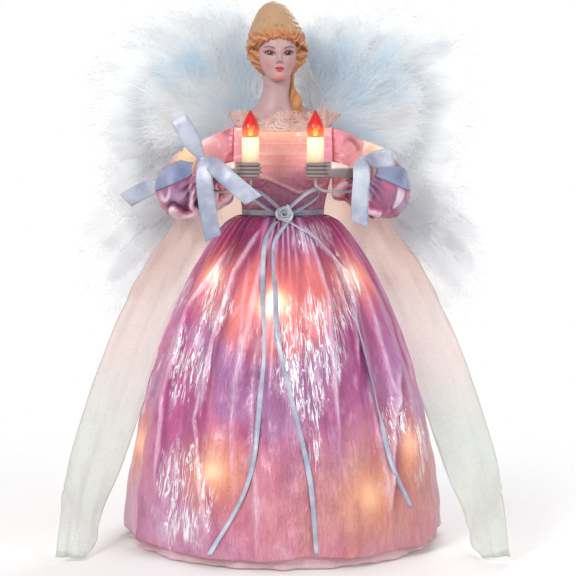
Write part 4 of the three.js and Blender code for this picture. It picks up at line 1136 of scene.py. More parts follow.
def lace_holes(around_share, up):
    """True in the holes: petals round eyelets, a fine net between them and a row of picots."""
    flower = (around_share * LACE_FLOWERS) % 1 - 0.5
    radius = np.hypot(flower * 2.0, (up - 0.6) * 2.0)
    turn = np.arctan2(up - 0.6, flower)
    petals = (radius > 0.2) & (radius < 0.42) & (np.abs(np.sin(2.5 * turn + 0.4)) > 0.62)
    eyelet = radius < 0.09
    meshes = np.abs((around_share * 6 * LACE_FLOWERS + up * 5) % 1 - 0.5) < 0.17
    net = meshes & (np.abs((up * 12) % 1 - 0.5) < 0.2) & (radius > 0.55)
    picots = (np.abs(up - 0.93) < 0.03) & (np.abs((around_share * 4 * LACE_FLOWERS) % 1 - 0.5) < 0.26)
    return petals | eyelet | net | picots


def make_collar(material):
    """A lace ruffle that rises and falls round the shoulders, scalloped and cut through with eyelets."""
    columns, rows = 1000, 54
    angle, rise = np.meshgrid(around(columns), np.linspace(0, 1, rows))
    turn = wrapped(angle)
    lobes = 0.55 + 0.2 * bump(np.abs(turn), np.pi, 0.8)
    for centre, width, share in COLLAR_LOBES:
        lobes += share * bump(turn, centre, width)
    ruffle = 1.9 * np.sin(9 * angle + 0.8 * np.sin(2 * angle))
    ruffle += 1.2 * np.sin(21 * angle + 1.4 * np.sin(3 * angle))
    flare = 1.6 + 4.2 * rise**1.3 + ruffle * rise**1.1
    scallop = 1.2 * np.abs(np.sin(LACE_FLOWERS * angle)) ** 0.7
    square = COLLAR_SQUARE - 1.9 * smooth(rise, 0.0, 0.8)
    points = torso_point(angle, BODICE_TOP + 0 * angle, flare, square)
    points[..., 2] = neckline(angle) - 1.4 + COLLAR_HEIGHT * rise * lobes + scallop * smooth(rise, 0.7, 1.0)
    middles = np.meshgrid((np.arange(columns) + 0.5) / columns, (np.arange(rows - 1) + 0.5) / (rows - 1))
    kept = grid_faces(rows, columns, looped=True)[~lace_holes(*middles).ravel()]
    made = piece("collar_lace", points, kept, material, "root", ["lace_collar"])
    return thicken(made, 0.3)


# Head, with x across the face and z up from the chin

# Share of the height, of the half width and of the half depth, and the middle's place in depth
FACE_STATIONS = [
    (0, 0.2, 0.22, -10),
    (0.03, 0.38, 0.38, -8.8),
    (0.08, 0.55, 0.55, -7.2),
    (0.17, 0.72, 0.71, -5.8),
    (0.29, 0.87, 0.87, -4.4),
    (0.45, 0.97, 0.98, -3.4),
    (0.65, 1, 1, -3),
    (0.84, 0.94, 0.96, -3),
    (1, 0.75, 0.78, -3),
]

# Features: how far they stand out, x, half width, z and half height. Those off the middle are on both sides.
FACE_FEATURES = {
    "nose tip": (1.0, 0, 1.5, 11.6, 1.2),
    "nostrils": (0.8, 1.6, 0.8, 11.0, 0.9),
    "upper lip": (0.8, 0, 2.3, 7.9, 0.75),
    "lower lip": (0.9, 0, 1.9, 6.2, 0.8),
    "mouth": (-0.5, 0, 2.6, 7.1, 0.35),
    "chin": (0.9, 0, 2.8, 2.4, 2.0),
    "eye sockets": (-1.5, 4.9, 2.5, 17.0, 1.9),
    "eyeballs": (1.0, 5.0, 1.7, 16.7, 1.15),
    "brows": (0.45, 5.2, 3.0, 20.6, 1.3),
    "cheeks": (0.6, 6.0, 3.0, 10.5, 3.2),
}


def head_to_world(points):
    turn, lean = math.cos(HEAD_TURN), math.sin(HEAD_TURN)
    x = points[..., 0] * turn - points[..., 1] * lean + NECK_X
    y = points[..., 0] * lean + points[..., 1] * turn
    return np.stack([x, y, points[..., 2] + CHIN], axis=-1)


def face_relief(x, z):
    """How far the features stand out of the plain face."""
    bridge = smooth(z, 10.6, 12.0) * (1 - smooth(z, 16.0, 21.0)) * (2.9 - 0.32 * (z - 11.2))
    total = bump(x, 0, 1.15) * bridge
    for depth, side, half_width, height, half_height in FACE_FEATURES.values():
        across = sum(bump(x, place, half_width) for place in {side, -side})
        total = total + depth * across * bump(z, height, half_height)
    return total


def eye_layers(x, z):
    """Masks and tints of the painted eyes, from the lid's shadow to the brows."""
    side = np.abs(x)
    lean = 15.8 + 0.12 * (side - 5.2)
    across = (side - 5.3) / 2.9
    arc = np.sqrt(np.clip(1 - across**2, 0, 1))
    upper = lean + 1.3 * arc
    lower = lean - 0.8 * arc
    shadow = smooth(z, upper - 0.2, upper + 0.3) * (1 - smooth(z, 17.8, 19.2))
    within = smooth(1 - np.abs(across), 0.0, 0.08)
    eye = within * smooth(z, lower - 0.12, lower + 0.12) * (1 - smooth(z, upper - 0.12, upper + 0.12))
    iris = np.hypot(side - 5.2, z - 16.1)
    shine = np.hypot(side - 5.2 + 0.6 * np.sign(x), z - 16.6)
    lash = smooth(1.14 - np.abs(across), 0.0, 0.12) * bump(z, upper + 0.15, 0.45)
    wing = bump(side, 8.4, 0.6) * bump(z, lean + 0.6 + 0.4 * (side - 8.0), 0.34)
    arch = 18.6 + 1.2 * np.sin(np.clip((side - 2.4) / 6.4, 0, 1) * 2.5)
    stroke = smooth(side, 2.2, 3.2) * (1 - smooth(side, 8.2, 9.2))
    return [
        (0.85 * bump(side, 5.5, 3.0) * shadow, (190, 100, 102)),
        (eye, (158, 136, 128)),
        (eye * (1 - smooth(iris, 1.5, 1.75)), (52, 44, 22)),
        (eye * (1 - smooth(iris, 1.0, 1.25)), (12, 9, 9)),
        (eye * (1 - smooth(shine, 0.2, 0.34)), (250, 250, 246)),
        (1.4 * lash, (52, 24, 22)),
        (1.2 * wing, (66, 32, 28)),
        (0.8 * within * bump(z, lower - 0.08, 0.3), (140, 64, 60)),
        (0.95 * stroke * bump(z, arch, 0.36), (118, 60, 50)),
    ]


def face_paint(x, z, front):
    """Porcelain skin with painted cheeks, eyes, brows, lips and nostrils, painted candle light on the chin
    and painted shade beside the nose.
    """
    side = np.abs(x)
    mouth = 7.1
    bow = 1.5 + 0.3 * bump(side, 1.0, 0.5) - 0.45 * bump(x, 0, 0.4)
    top = mouth + bow * np.clip(1 - (x / 3.2) ** 2, 0, 1)
    base = mouth - 1.75 * np.clip(1 - (x / 2.8) ** 2, 0, 1)
    lips = smooth(z, base - 0.2, base + 0.1) * (1 - smooth(z, top - 0.1, top + 0.2))
    lips = lips * smooth(3.2 - side, 0, 0.3)
    layers = [
        (0.5 * bump(side, 6.8, 2.8) * bump(z, 9.8, 3.2), (216, 126, 130)),
        # Painted candle light, warm on the chin.
        (0.8 * bump(x, 0, 4.2) * bump(z, 1.2, 2.4), (232, 136, 112)),
        *eye_layers(x, z),
        (lips, (214, 86, 92)),
        (0.7 * lips * bump(z, mouth, 0.2), (146, 42, 54)),
        (0.6 * bump(side, 0.9, 0.4) * bump(z, 10.3, 0.34), (150, 76, 76)),
        # Painted shade on the left side of the nose.
        (0.3 * bump(x, -1.7, 0.9) * bump(z, 14.0, 3.0), (176, 124, 130)),
    ]
    return layered(srgb(200, 167, 169), [(np.clip(mask * front, 0, 1), tint) for mask, tint in layers])


# Height over the shoulder plate, half width, half depth and how far it has moved over to the neck
NECK_STATIONS = [
    (0, 24, 13.5, 0),
    (4, 23.5, 13, 0),
    (8, 21, 12.2, 0.2),
    (11.5, 16.5, 11.2, 0.5),
    (15, 12, 10.2, 0.8),
    (19, 9.4, 9, 1),
    (24, 8.1, 8.3, 1),
    (31, 8.2, 8.2, 1),
]


def neck_mesh():
    """Shoulder plate and neck, with a hollow at the throat and soft collar bones."""
    columns, rows = 160, 80
    angles = around(columns)
    rise = np.linspace(0, 31, rows)[:, None]
    half_width, half_depth, shift = loft(NECK_STATIONS, rise[:, 0]).T[:, :, None]
    across = half_width * np.sin(angles)
    x = NECK_X * shift + across
    throat = 0.9 * bump(across, 0, 2.6) * bump(rise, 10.5, 2.4)
    bones = 0.5 * bump(np.abs(x), 9.0, 4.5) * bump(rise, 8.5, 1.6)
    y = 0.5 - half_depth * np.cos(angles) + (throat - bones) * np.maximum(np.cos(angles), 0)
    z = np.broadcast_to(NECK_BASE + rise, x.shape)
    return np.stack([x, y, z], axis=-1).reshape(-1, 3), closed_faces(rows, columns)


def make_face(material):
    """Face and neck, with more columns at the front of the face."""
    columns, rows = 300, 250
    turns = np.linspace(-np.pi, np.pi, columns, endpoint=False)
    angle = (turns - 0.72 * np.sin(turns))[None, :]
    shares = np.linspace(0, 1, rows)
    width, depth, centre = loft(FACE_STATIONS, shares).T[:, :, None]
    x = FACE_HALF_WIDTH * width * np.sin(angle)
    y = centre - FACE_HALF_DEPTH * depth * np.cos(angle)
    z = np.broadcast_to((shares * FACE_HEIGHT)[:, None], x.shape)
    front = smooth(np.cos(angle), 0.1, 0.45) * np.ones_like(x)
    points = head_to_world(np.stack([x, y - face_relief(x, z) * front, z], axis=-1))
    neck = neck_mesh()
    points, faces = together([(points, closed_faces(rows, columns)), neck])
    made = piece("head_face", points, faces, material, "root", ["porcelain_head"])
    # The neck a little darker than the face: painted shade under the chin.
    shaded_neck_skin = np.broadcast_to(srgb(190, 158, 159), neck[0].shape)
    paint(made, "tint", np.vstack([face_paint(x, z, front).reshape(-1, 3), shaded_neck_skin]))
    return face_out(made)


# Share of the height, of the half width and of the half depth, and the middle's place across and in depth
HAIR_STATIONS = [
    (0.03, 0.32, 0.4, 0.6, 6),
    (0.1, 0.53, 0.66, 0.8, 4.4),
    (0.19, 0.75, 0.85, 0.8, 3),
    (0.28, 0.92, 0.95, 0.6, 2.4),
    (0.36, 0.975, 1, 0.3, 2),
    (0.44, 0.965, 1.01, 0.1, 1.7),
    (0.52, 0.92, 1, 0, 1.5),
    (0.65, 0.82, 0.93, -0.4, 1.5),
    (0.78, 0.66, 0.74, -1, 1.5),
    (0.91, 0.44, 0.5, -1.4, 2),
    (0.98, 0.2, 0.23, -1.5, 2),
    (1, 0.05, 0.06, -1.5, 2),
]

# Bands across the dome: how far they stand out, height and half width
DOME_BANDS = [(0.45, 34.0, 0.9), (-0.4, 32.4, 0.7), (0.25, 37.4, 1.0), (0.2, 41.0, 1.0), (-0.2, 39.4, 0.7)]


def hair_relief(angle, z, share, points):
    """Waves and strands of the dressed hair: rolls at the sides, a fringe, a swept dome."""
    turn = wrapped(angle)
    roll = 1 - smooth(share, 0.56, 0.68)
    fringe = bump(turn, 0.0, 0.62) * bump(share, 0.565, 0.075)
    wander = ripple(points, 71, 8.0)
    lift = z + 2.6 * np.cos(angle) - 4.0 * np.abs(np.sin(angle)) ** 1.5 + 1.1 * wander
    rolls = 0.6 * roll * np.sin(TURN * lift / 4.6) * smooth(share, 0.06, 0.22)
    strands = np.sin(TURN * lift / 1.15) + 0.6 * np.sin(TURN * lift / 0.75 + 3 * wander)
    arch = z + 7.0 * np.abs(np.sin(turn)) ** 1.3 + 0.8 * wander
    bands = sum(reach * bump(arch, height, width) for reach, height, width in DOME_BANDS)
    sweep = TURN * arch / 1.5 + 6.0 * turn
    dome_strands = np.sin(sweep) + 0.8 * np.sin(1.7 * sweep + 4 * wander) * np.sin(14 * turn + 3 * wander)
    locks = np.abs(np.sin(13 * turn + 0.9 * np.sin(z / 2.2) + 0.6 * wander))
    crown = (1 - roll) * (1 - smooth(share, 0.93, 1.0))
    broad = rolls + crown * (bands + 0.1 * ripple(points, 72, 2.6)) + 1.5 * fringe * (0.4 + 0.6 * locks)
    fine = (0.1 * roll * strands + 0.04 * crown * dome_strands) * (1 - fringe)
    return broad, fine, roll, fringe, locks


def hair_tint(share, broad, fine, roll, fringe, locks):
    """Tan on the dome, copper in the rolls and the fringe, dark in the grooves."""
    low = smooth(-share, -0.66, -0.5)
    grooves = smooth(-fine, 0.0, 0.16) * (0.25 + 0.3 * roll) + 0.45 * smooth(-broad, 0.12, 0.6)
    grooves += 0.6 * fringe * (1 - smooth(locks, 0.1, 0.5))
    layers = [
        (np.clip(0.85 * low + fringe, 0, 1), (202, 132, 88)),
        (0.6 * smooth(broad, 0.15, 0.6) * low * (1 - fringe), (228, 180, 132)),
        (np.clip(grooves, 0, 0.75), (140, 82, 52)),
    ]
    return layered(srgb(190, 155, 120), layers)


def make_hair(material):
    """Hair dressed in rolls beside the face, a short fringe, a dome swept up from them, and a loose lock."""
    columns, rows = 520, 240
    shares = np.linspace(HAIR_STATIONS[0][0], 1, rows)
    width, depth, shift_x, shift_y = loft(HAIR_STATIONS, shares).T[:, :, None]
    half_width, half_depth = HAIR_HALF_WIDTH * width, HAIR_HALF_DEPTH * depth
    angle, share = np.meshgrid(around(columns), shares)
    z = share * HAIR_HEIGHT
    plain = np.stack([half_width * np.sin(angle), -half_depth * np.cos(angle), z], axis=-1)
    broad, fine, roll, fringe, locks = hair_relief(angle, z, share, plain)
    out = broad + fine
    x = (half_width + out) * np.sin(angle)
    hairline = 24.0 - 0.02 * x**2 + 1.2 * (locks - 0.5)
    bare = np.where(np.cos(angle) > 0, 1 - smooth(z - hairline, -1.0, 0.9), 0)
    swept_back = np.minimum(TEMPLE_DEPTH, half_depth)
    y = -(half_depth + (swept_back - half_depth) * bare + out) * np.cos(angle)
    points = head_to_world(np.stack([x + shift_x, y + shift_y, z], axis=-1))
    lock_points, lock_faces, lock_tint = lock_mesh()
    points, faces = together([(points, closed_faces(rows, columns)), (lock_points, lock_faces)])
    made = piece("head_hair", points, faces, material, "root", ["porcelain_head"])
    tint = hair_tint(share, broad, fine, roll, fringe, locks)
    paint(made, "tint", np.vstack([tint.reshape(-1, 3), lock_tint]))
    return face_out(made)


# Share along the lock and its radius
LOCK_SWELL = [(0, 1.6), (0.25, 1.3), (0.45, 2.0), (0.68, 3.2), (0.85, 2.7), (0.96, 1.3), (1, 0.3)]


def lock_mesh():
    """A lock of hair that follows the side of the neck and ends in a curl on the shoulder."""
    beside = [(8.8, 5, 7), (9.0, 1.0, -2), (10.4, -5.5, -8), (11.8, -9.5, -13), (12.2, -11.5, -19)]
    route = [(NECK_X + x, y, CHIN + z) for x, y, z in beside]
    steps, sides = 120, 40
    shares = np.linspace(0, 1, steps)
    twist = TURN * 1.1 * shares[:, None] ** 1.3
    coils = np.cos(2 * (around(sides) - twist))
    strands = np.cos(9 * around(sides) - 3 * twist)
    radii = loft(LOCK_SWELL, shares) * (1 + 0.1 * coils + 0.05 * strands)
    points, faces = tube(spline(route, shares), radii, sides)
    shade = 0.35 * smooth(-coils, 0.2, 1.0) + 0.3 * smooth(-strands, 0.1, 1.0)
    return points, faces, blend_colour(srgb(206, 146, 96), srgb(140, 82, 52), shade.ravel())


# Arms

# Where the folds start round each sleeve
SLEEVE_PHASE = {"left": 2.1, "right": 0.7}


def limb_places(points, start, end):
    """Share along a limb and turn round it, for points on a right sleeve."""
    length = np.linalg.norm(end - start)
    along = (end - start) / length
    across = unit(np.cross(along, UP))
    rel = points - start
    return rel @ along / length, np.arctan2(rel @ np.cross(across, along), rel @ across)


def candle_lit(points):
    """Share of the candle's light on the top of a right sleeve."""
    return bump(points[:, 0], 57, 10) * smooth(points[:, 2], 214, 225)


def sleeve_tint(points, crest, phase):
    """Salmon pink satin at the shoulder, mauve and lavender on the puff, painted highlights on the fold
    crests, painted shade in the valleys and painted amber candle light at the top.
    """
    share, _ = limb_places(points, SHOULDER, ELBOW)
    puff = smooth(share, 0.5, 0.95)
    drift = ripple(points, 81 + int(10 * phase), 24.0)
    layers = [
        (puff, (172, 112, 148)),
        (0.45 * smooth(drift, 0.1, 1.0) * (0.4 + 0.6 * puff), (216, 100, 150)),
        (0.6 * smooth(-drift, 0.2, 1.1) * puff, (192, 176, 218)),
        # Painted highlight on the fold crests.
        (0.85 * smooth(crest, 0.25, 0.75), (250, 226, 234)),
    ]
    # Painted shade in the fold valleys, darker on the puff.
    valley_shade = layered(srgb(168, 64, 92), [(puff, (74, 32, 74))])
    valley_shade_share = 0.92 * smooth(-crest, 0.12, 0.75) * smooth(points[:, 0], 29.5, 35.0)
    colour = blend_colour(layered(srgb(236, 158, 168), layers), valley_shade, valley_shade_share)
    return layered(colour, [(0.7 * candle_lit(points), (246, 222, 168))])


def sleeve_folds(points, wander, phase, under_band):
    """How far the cloth stands out: folds and gathers on the puff, swags and tucks at the shoulder."""
    low_share, low_turn = limb_places(points, ELBOW, CUFF)
    high_share, high_turn = limb_places(points, SHOULDER, ELBOW)
    low_part = smooth(low_share, -0.35, 0.25)
    long_folds = np.sin(4.0 * low_turn + 1.3 * wander + phase + 2.0 * low_share)
    pleats = 2 * np.abs(np.sin(2.5 * low_turn + 0.9 * wander + 1.4 * low_share + phase)) - 1
    gathers = 1 - 2 * np.abs(np.sin(9.5 * low_turn + 0.5 * wander + 2 * phase))
    swags = 2 * np.abs(np.sin(3.0 * high_turn + 1.2 * high_share + 1.1 * wander + phase)) - 1
    tucks = 1 - 2 * np.abs(np.sin(7.5 * high_turn + 0.6 * wander + phase))
    fold = (1.4 * long_folds + 1.5 * pleats) * bump(low_share, 0.3, 0.55) * low_part
    fold += 0.8 * gathers * smooth(low_share, 0.45, 0.85) * low_part
    fold += 2.7 * swags * bump(high_share, 0.36, 0.34) * (1 - low_part)
    fold += 1.3 * tucks * bump(high_share, 0.16, 0.16) * (1 - low_part)
    return fold * (1 - 0.8 * under_band * low_part)


def sleeve_shape(points, offsets):
    """The points moved by their offsets, flat at the armhole's seam and sloped down from the shoulder."""
    x = points[:, 0]
    from_axis = (points - SHOULDER) * np.array([0, 1, 1])
    rim = unit(from_axis)
    at_rim = smooth(np.linalg.norm(from_axis, axis=1), 8.0, 11.5)
    clear_of_seam = smooth(x, 29.3, 31.5)
    head = 2.6 * bump(x, 33.5, 6.0) * clear_of_seam
    corner = 2.4 * (1 - smooth(x, 29.0, 32.5)) * at_rim
    seam_tucks = 0.5 * np.sin(24 * np.arctan2(rim[:, 1], rim[:, 2])) * (1 - smooth(x, 31.0, 36.0))
    moved = points + offsets * clear_of_seam[:, None]
    moved += rim * (head + corner + seam_tucks * at_rim)[:, None]
    seam = SHOULDER[0] + 0.1
    past = np.maximum(moved[:, 0] - seam, 0)
    moved[:, 0] = np.minimum(moved[:, 0], seam) + past * (0.15 + 0.85 * smooth(past, 0.5, 5.0))
    moved[:, 0] -= 0.23 * np.maximum(moved[:, 0] - 60.0, 0)
    moved[:, 2] += 0.2 * np.maximum(204.0 - moved[:, 2], 0)
    moved[:, 2] += 4.5 * bump(x, 38.0, 9.0) * smooth(rim[:, 2], 0.1, 0.9)
    slope = 244.0 - 0.4 * (moved[:, 0] - seam)
    moved[:, 2] -= 0.85 * np.maximum(moved[:, 2] - slope, 0)
    return moved


def make_sleeve(side, material):
    """The sleeve's form with cloth folds: gathers at both ends and long folds over the puff."""
    sign, phase = SIDES[side], SLEEVE_PHASE[side]
    name, arm = f"{side}_sleeve", f"{side}_arm"
    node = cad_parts[name]
    faces = [tuple(face.vertices) for face in node.data.polygons]
    made = remeshed(f"{side}_puff", points_of(node), faces, 0.6, 10, material, arm, [name])
    points = mirrored(points_of(made), sign)
    normals = mirrored(normals_of(made), sign)
    wander = ripple(points, 91 + sign, 16.0)
    under_band = bump((points - KNOT) @ BAND_NORMAL, 0, 7.0)
    fold = sleeve_folds(points, wander, phase, under_band)
    offsets = normals * (fold + 0.5 * wander * (1 - under_band))[:, None]
    move_points(made, mirrored(sleeve_shape(points, offsets), sign))
    # Painted light: candle light on the top of the sleeve, and pink light along the seam with the bodice.
    seam_light_on_sleeve = 0.1 * (1 - smooth(points[:, 0], 29.5, 32.5))
    glow = glow_of(0.22 * candle_lit(points), 255, 206, 130) + glow_of(seam_light_on_sleeve, 240, 140, 150)
    paint(made, "tint", sleeve_tint(points, fold / 1.8, phase))
    paint(made, "glow", glow)
    return made


def clear_of_puff(points, tree, gap):
    """Points moved out until they clear the sleeve by a gap."""
    moved = []
    for point in points:
        place, normal, _, _ = tree.find_nearest(Vector(point * MM))
        normal = np.array(normal)
        depth = (point - np.array(place) / MM) @ normal
        moved.append(point + normal * max(0.0, gap - depth))
    return np.array(moved)


def make_band(side, puff, material):
    """Ribbon laid over the puff of the sleeve, from the knot round its outer end to the back."""
    sign = SIDES[side]
    inward = np.array([-BAND_NORMAL[2], 0, BAND_NORMAL[0]])
    middle = ELBOW + (CUFF - ELBOW) * 0.28
    centre = middle + BAND_NORMAL * ((KNOT - middle) @ BAND_NORMAL)
    tree = BVHTree.FromObject(puff, bpy.context.evaluated_depsgraph_get())
    columns, rows = 9, 80
    hits = []
    for turn in np.radians(np.linspace(60, 282, rows)):
        direction = inward * math.cos(turn) - BACKWARD * math.sin(turn)
        aim = Vector(mirrored(-direction, sign))
        for share in np.linspace(-0.5, 0.5, columns):
            start = centre + BAND_NORMAL * (share * RIBBON_WIDTH) + direction * 60
            hit, normal, _, _ = tree.ray_cast(Vector(mirrored(start, sign) * MM), aim)
            hits.append(np.array(hit) / MM + np.array(normal) * 0.45)
    points = np.array(hits).reshape(rows, columns, 3)
    for _ in range(4):
        for _ in range(5):
            smoothed(points)
            smoothed(points.swapaxes(0, 1))
        points = clear_of_puff(points.reshape(-1, 3), tree, 0.7).reshape(rows, columns, 3)
    faces, nodes = grid_faces(rows, columns), [f"{side}_cuff_ribbon"]
    made = piece(f"{side}_band", points, faces, material, f"{side}_arm", nodes)
    return thicken(made, 0.25)


# Share of the way from the cuff to the palm, half depth and half height
FOREARM_STATIONS = [
    (-0.28, 3.1, 3.1),
    (0.1, 3.4, 3.4),
    (0.4, 3.0, 3.2),
    (0.62, 2.8, 4.0),
    (0.85, 3.5, 4.6),
    (1.0, 3.7, 4.6),
    (1.12, 2.4, 3.6),
    (1.18, 0.9, 1.6),
]

# How far each finger reaches round the candle, in degrees from its outer side
FINGER_ENDS = [-150, -166, -163, -148]


def forearm_mesh():
    steps, sides = 40, 28
    shares = np.linspace(FOREARM_STATIONS[0][0], FOREARM_STATIONS[-1][0], steps)
    depth, rise = loft(FOREARM_STATIONS, shares).T[:, :, None]
    along = PALM - CUFF
    across = unit(np.cross(along, UP))
    centres = CUFF + along * shares[:, None]
    turns = around(sides)
    ring = across * (depth * np.cos(turns))[..., None] + UP * (rise * np.sin(turns))[..., None]
    return centres[:, None] + ring, closed_faces(steps, sides)


def round_candle(turns, away, height):
    """Points round the candle, at turns in degrees and away from its side."""
    middle = np.array([*CANDLE, height])
    reach = CANDLE_RADIUS + away
    return [middle + reach * np.array([math.cos(turn), math.sin(turn), 0]) for turn in np.radians(turns)]


def finger_mesh(finger):
    height = HAND_HEIGHT + (finger - 1.5) * FINGER_PITCH
    foot = PALM + np.array([1.8, -0.6, height - HAND_HEIGHT])
    route = [foot] + round_candle(np.linspace(2, FINGER_ENDS[finger], 9), 1.25, height)
    shares = np.linspace(0, 1, 46)
    knuckles = 1.0 + 0.12 * bump(shares, 0.2, 0.06) + 0.08 * bump(shares, 0.55, 0.06)
    return tube(spline(route, shares), knuckles * (1 - 0.3 * smooth(shares, 0.85, 1.0)), 14)


def thumb_mesh():
    route = [PALM + np.array([1.5, 0.5, 1.5])] + round_candle([24, 58, 92, 112], 1.5, HAND_HEIGHT + 3.0)
    shares = np.linspace(0, 1, 30)
    return tube(spline(route, shares), 1.35 * (1 - 0.3 * smooth(shares, 0.8, 1.0)), 14)


def make_hand(side, material):
    """Forearm, palm, four fingers round the candle and a thumb, as one skin."""
    sign = SIDES[side]
    fingers = [finger_mesh(finger) for finger in range(len(FINGER_ENDS))]
    points, faces = together([forearm_mesh(), *fingers, thumb_mesh()])
    points = mirrored(points, sign)
    nodes = [f"{side}_forearm"]
    made = remeshed(f"{side}_hand", points, faces, 0.26, 2, material, f"{side}_arm", nodes)
    x, y, z = mirrored(points_of(made), sign).T
    away = np.hypot(x - CANDLE[0], y - CANDLE[1])
    on_fingers = 1 - smooth(away, CANDLE_RADIUS + 2.5, CANDLE_RADIUS + 4.5)
    from_groove = np.abs(((z - HAND_HEIGHT) / FINGER_PITCH + 0.5) % 1 - 0.5)
    # Painted shade between the fingers.
    grooves = 0.85 * on_fingers * (1 - smooth(from_groove, 0.04, 0.26))
    # Painted light on the top of the wrist.
    lit_wrist = smooth(x, 26.5, 28.0) * smooth(z, HAND_HEIGHT + 0.2, HAND_HEIGHT + 1.6)
    # The grey base is the porcelain skin in painted shade.
    layers = [(grooves, (62, 52, 56)), (lit_wrist, (255, 232, 222))]
    paint(made, "tint", layered(srgb(150, 136, 134), layers))
    return face_out(made)


# Share of the height and of the candle's radius
FLAME_OUTLINE = [
    (0, 0.84),
    (0.12, 0.95),
    (0.26, 1.0),
    (0.4, 0.94),
    (0.62, 0.68),
    (0.85, 0.3),
    (0.95, 0.13),
    (1, 0.02),
]

# Radius and height over the candle's rim
FLAME_CORE = [(0.9, 0.4), (1.5, 2.5), (1.1, 5.5), (0.5, 8.5), (0.1, 10.5)]


def make_candle(side, plastic, glass, core):
    """A candle tube with its bore, and the flame lamp that plugs into it."""
    centre = CANDLE * np.array([SIDES[side], 1])
    radius, bore, ring = CANDLE_RADIUS, CANDLE_RADIUS - 1.9, 64
    profile = [
        (bore, CANDLE_LOW),
        (radius - 0.3, CANDLE_LOW),
        (radius, CANDLE_LOW + 0.3),
        (radius, CANDLE_TOP - 0.5),
        (radius - 0.5, CANDLE_TOP),
        (bore, CANDLE_TOP),
    ]
    points, faces = lathe(profile, ring, centre)
    last = (len(profile) - 1) * ring
    faces = faces[:-2] + [(last + k, last + (k + 1) % ring, (k + 1) % ring, k) for k in range(ring)]
    tube_node = f"{side}_candle_tube"
    face_out(piece(f"{side}_candle", points, faces, plastic, f"{side}_arm", [tube_node]))
    seat = CANDLE_TOP + 0.35
    shares = np.linspace(0, 1, 40)
    flame = [(bore - 0.35, CANDLE_TOP - 10), (bore - 0.35, seat)]
    outline = loft(FLAME_OUTLINE, shares)[:, 0]
    flame += [(radius * width, seat + FLAME_HEIGHT * share) for width, share in zip(outline, shares)]
    filament = [(width, seat + rise) for width, rise in FLAME_CORE]
    for name, profile, sides, look in (("flame_lamp", flame, 56, glass), ("filament", filament, 24, core)):
        points, faces = lathe(profile, sides, centre)
        lamp, bulb = f"{side}_flame", f"{side}_flame_bulb"
        face_out(piece(f"{side}_{name}", points, faces, look, lamp, [bulb]))


LEAD_ROUTE = [
    (18.3, -50, 215.8),
    (18.6, -49.7, 211.8),
    (22.3, -47, 208.8),
    (29.3, -43.5, 207.8),
    (37.3, -39.5, 207.8),
    (41, -33, 209),
    (45.5, -29, 210.5),
]


def make_lead(side, material):
    """The lead from the candle's foot into the cuff."""
    route = mirrored(spline(LEAD_ROUTE, np.linspace(0, 1, 31)), SIDES[side])
    data = bpy.data.curves.new(f"{side}_lead", "CURVE")
    data.dimensions = "3D"
    data.bevel_depth = LEAD_RADIUS * MM
    data.bevel_resolution = 5
    data.use_fill_caps = True
    line = data.splines.new("POLY")
    line.points.add(len(route) - 1)
    for knot, place in zip(line.points, route):
        knot.co = (*(place * MM), 1)
    made = put(f"{side}_lead", data, material, f"{side}_arm", [f"{side}_candle_lead"])
    return made


BOW_ROWS = 46
BOW_COLUMNS = 7

# Share of the way out from the knot, and how far back
LOOP_ROUTE = [(0, -0.5), (0.4, -5), (0.8, -5), (1, -1), (0.85, 2), (0.4, 1.6), (0, -0.3)]


def bow_loop(knot, out):
    """A loop of ribbon from the knot: out along the front and back along the rear."""
    out = np.array(out, float)
    shares = np.linspace(0, 1, BOW_ROWS)
    path = spline([knot + out * share + BACKWARD * push for share, push in LOOP_ROUTE], shares)
    widths = RIBBON_WIDTH * (0.45 + 0.55 * smooth(np.sin(shares * np.pi), 0.0, 0.6))
    return strip(path, np.cross(out, BACKWARD), widths, BOW_COLUMNS)


def bow_tail(knot, offsets, across):
    """A tail of ribbon from the knot, a little curled, with a slanted end."""
    shares = np.linspace(0, 1, BOW_ROWS)
    path = spline([knot] + [knot + np.array(offset, float) for offset in offsets], shares)
    widths = RIBBON_WIDTH * (0.36 + 0.64 * smooth(shares, 0.05, 0.4))
    points, faces = strip(path, across, widths, BOW_COLUMNS, 0.5 * np.sin(shares * 9))
    slant = smooth(shares, 0.85, 1.0)[:, None] * np.linspace(-2, 2, BOW_COLUMNS)
    return points + unit(path[-1] - path[-3]) * slant.reshape(-1, 1), faces


def knot_mesh(centre, radius):
    """A small tied knot: a ball drawn in by ribbon folds."""
    rows, columns = 20, 32
    tilt = np.linspace(0.12, np.pi - 0.12, rows)[:, None]
    turn = around(columns)
    fold = 1 + 0.08 * np.cos(7 * tilt + np.sin(turn))
    x = radius * fold * np.sin(tilt) * np.cos(turn)
    y = 0.8 * radius * fold * np.sin(tilt) * np.sin(turn)
    z = np.broadcast_to(radius * np.cos(tilt), x.shape)
    return np.stack([x, y, z], axis=-1) + centre, closed_faces(rows, columns)


def bow_parts(side):
    """Loops and tails of ribbon from the knot at the cuff, which differ from side to side."""
    if side == "right":
        falling = [(-1, -6, -1), (-1, -10, -9), (-2, -11, -22), (-2, -10, -36)]
        return [bow_loop(KNOT, (17, -8, 2)), bow_tail(KNOT, falling, (1, 0.25, 0))]
    falling = [(-1, -6, -1), (-1, -10, -10), (-3, -11, -28), (-6, -11, -44)]
    crossing = [(-3, -6, 0), (-8, -12, -4), (-15, -17, -10), (-22, -18, -16), (-29, -17, -22)]
    outward = [(4, 1, -2), (9, 6, -4), (15, 11, -7), (22, 15, -11)]
    return [
        bow_loop(KNOT, (14, -7, 25)),
        bow_tail(KNOT, falling, (1, 0.2, 0)),
        bow_tail(KNOT, crossing, (-0.62, 0, 0.78)),
        bow_tail(OUTER_TAIL, outward, BAND_NORMAL),
    ]


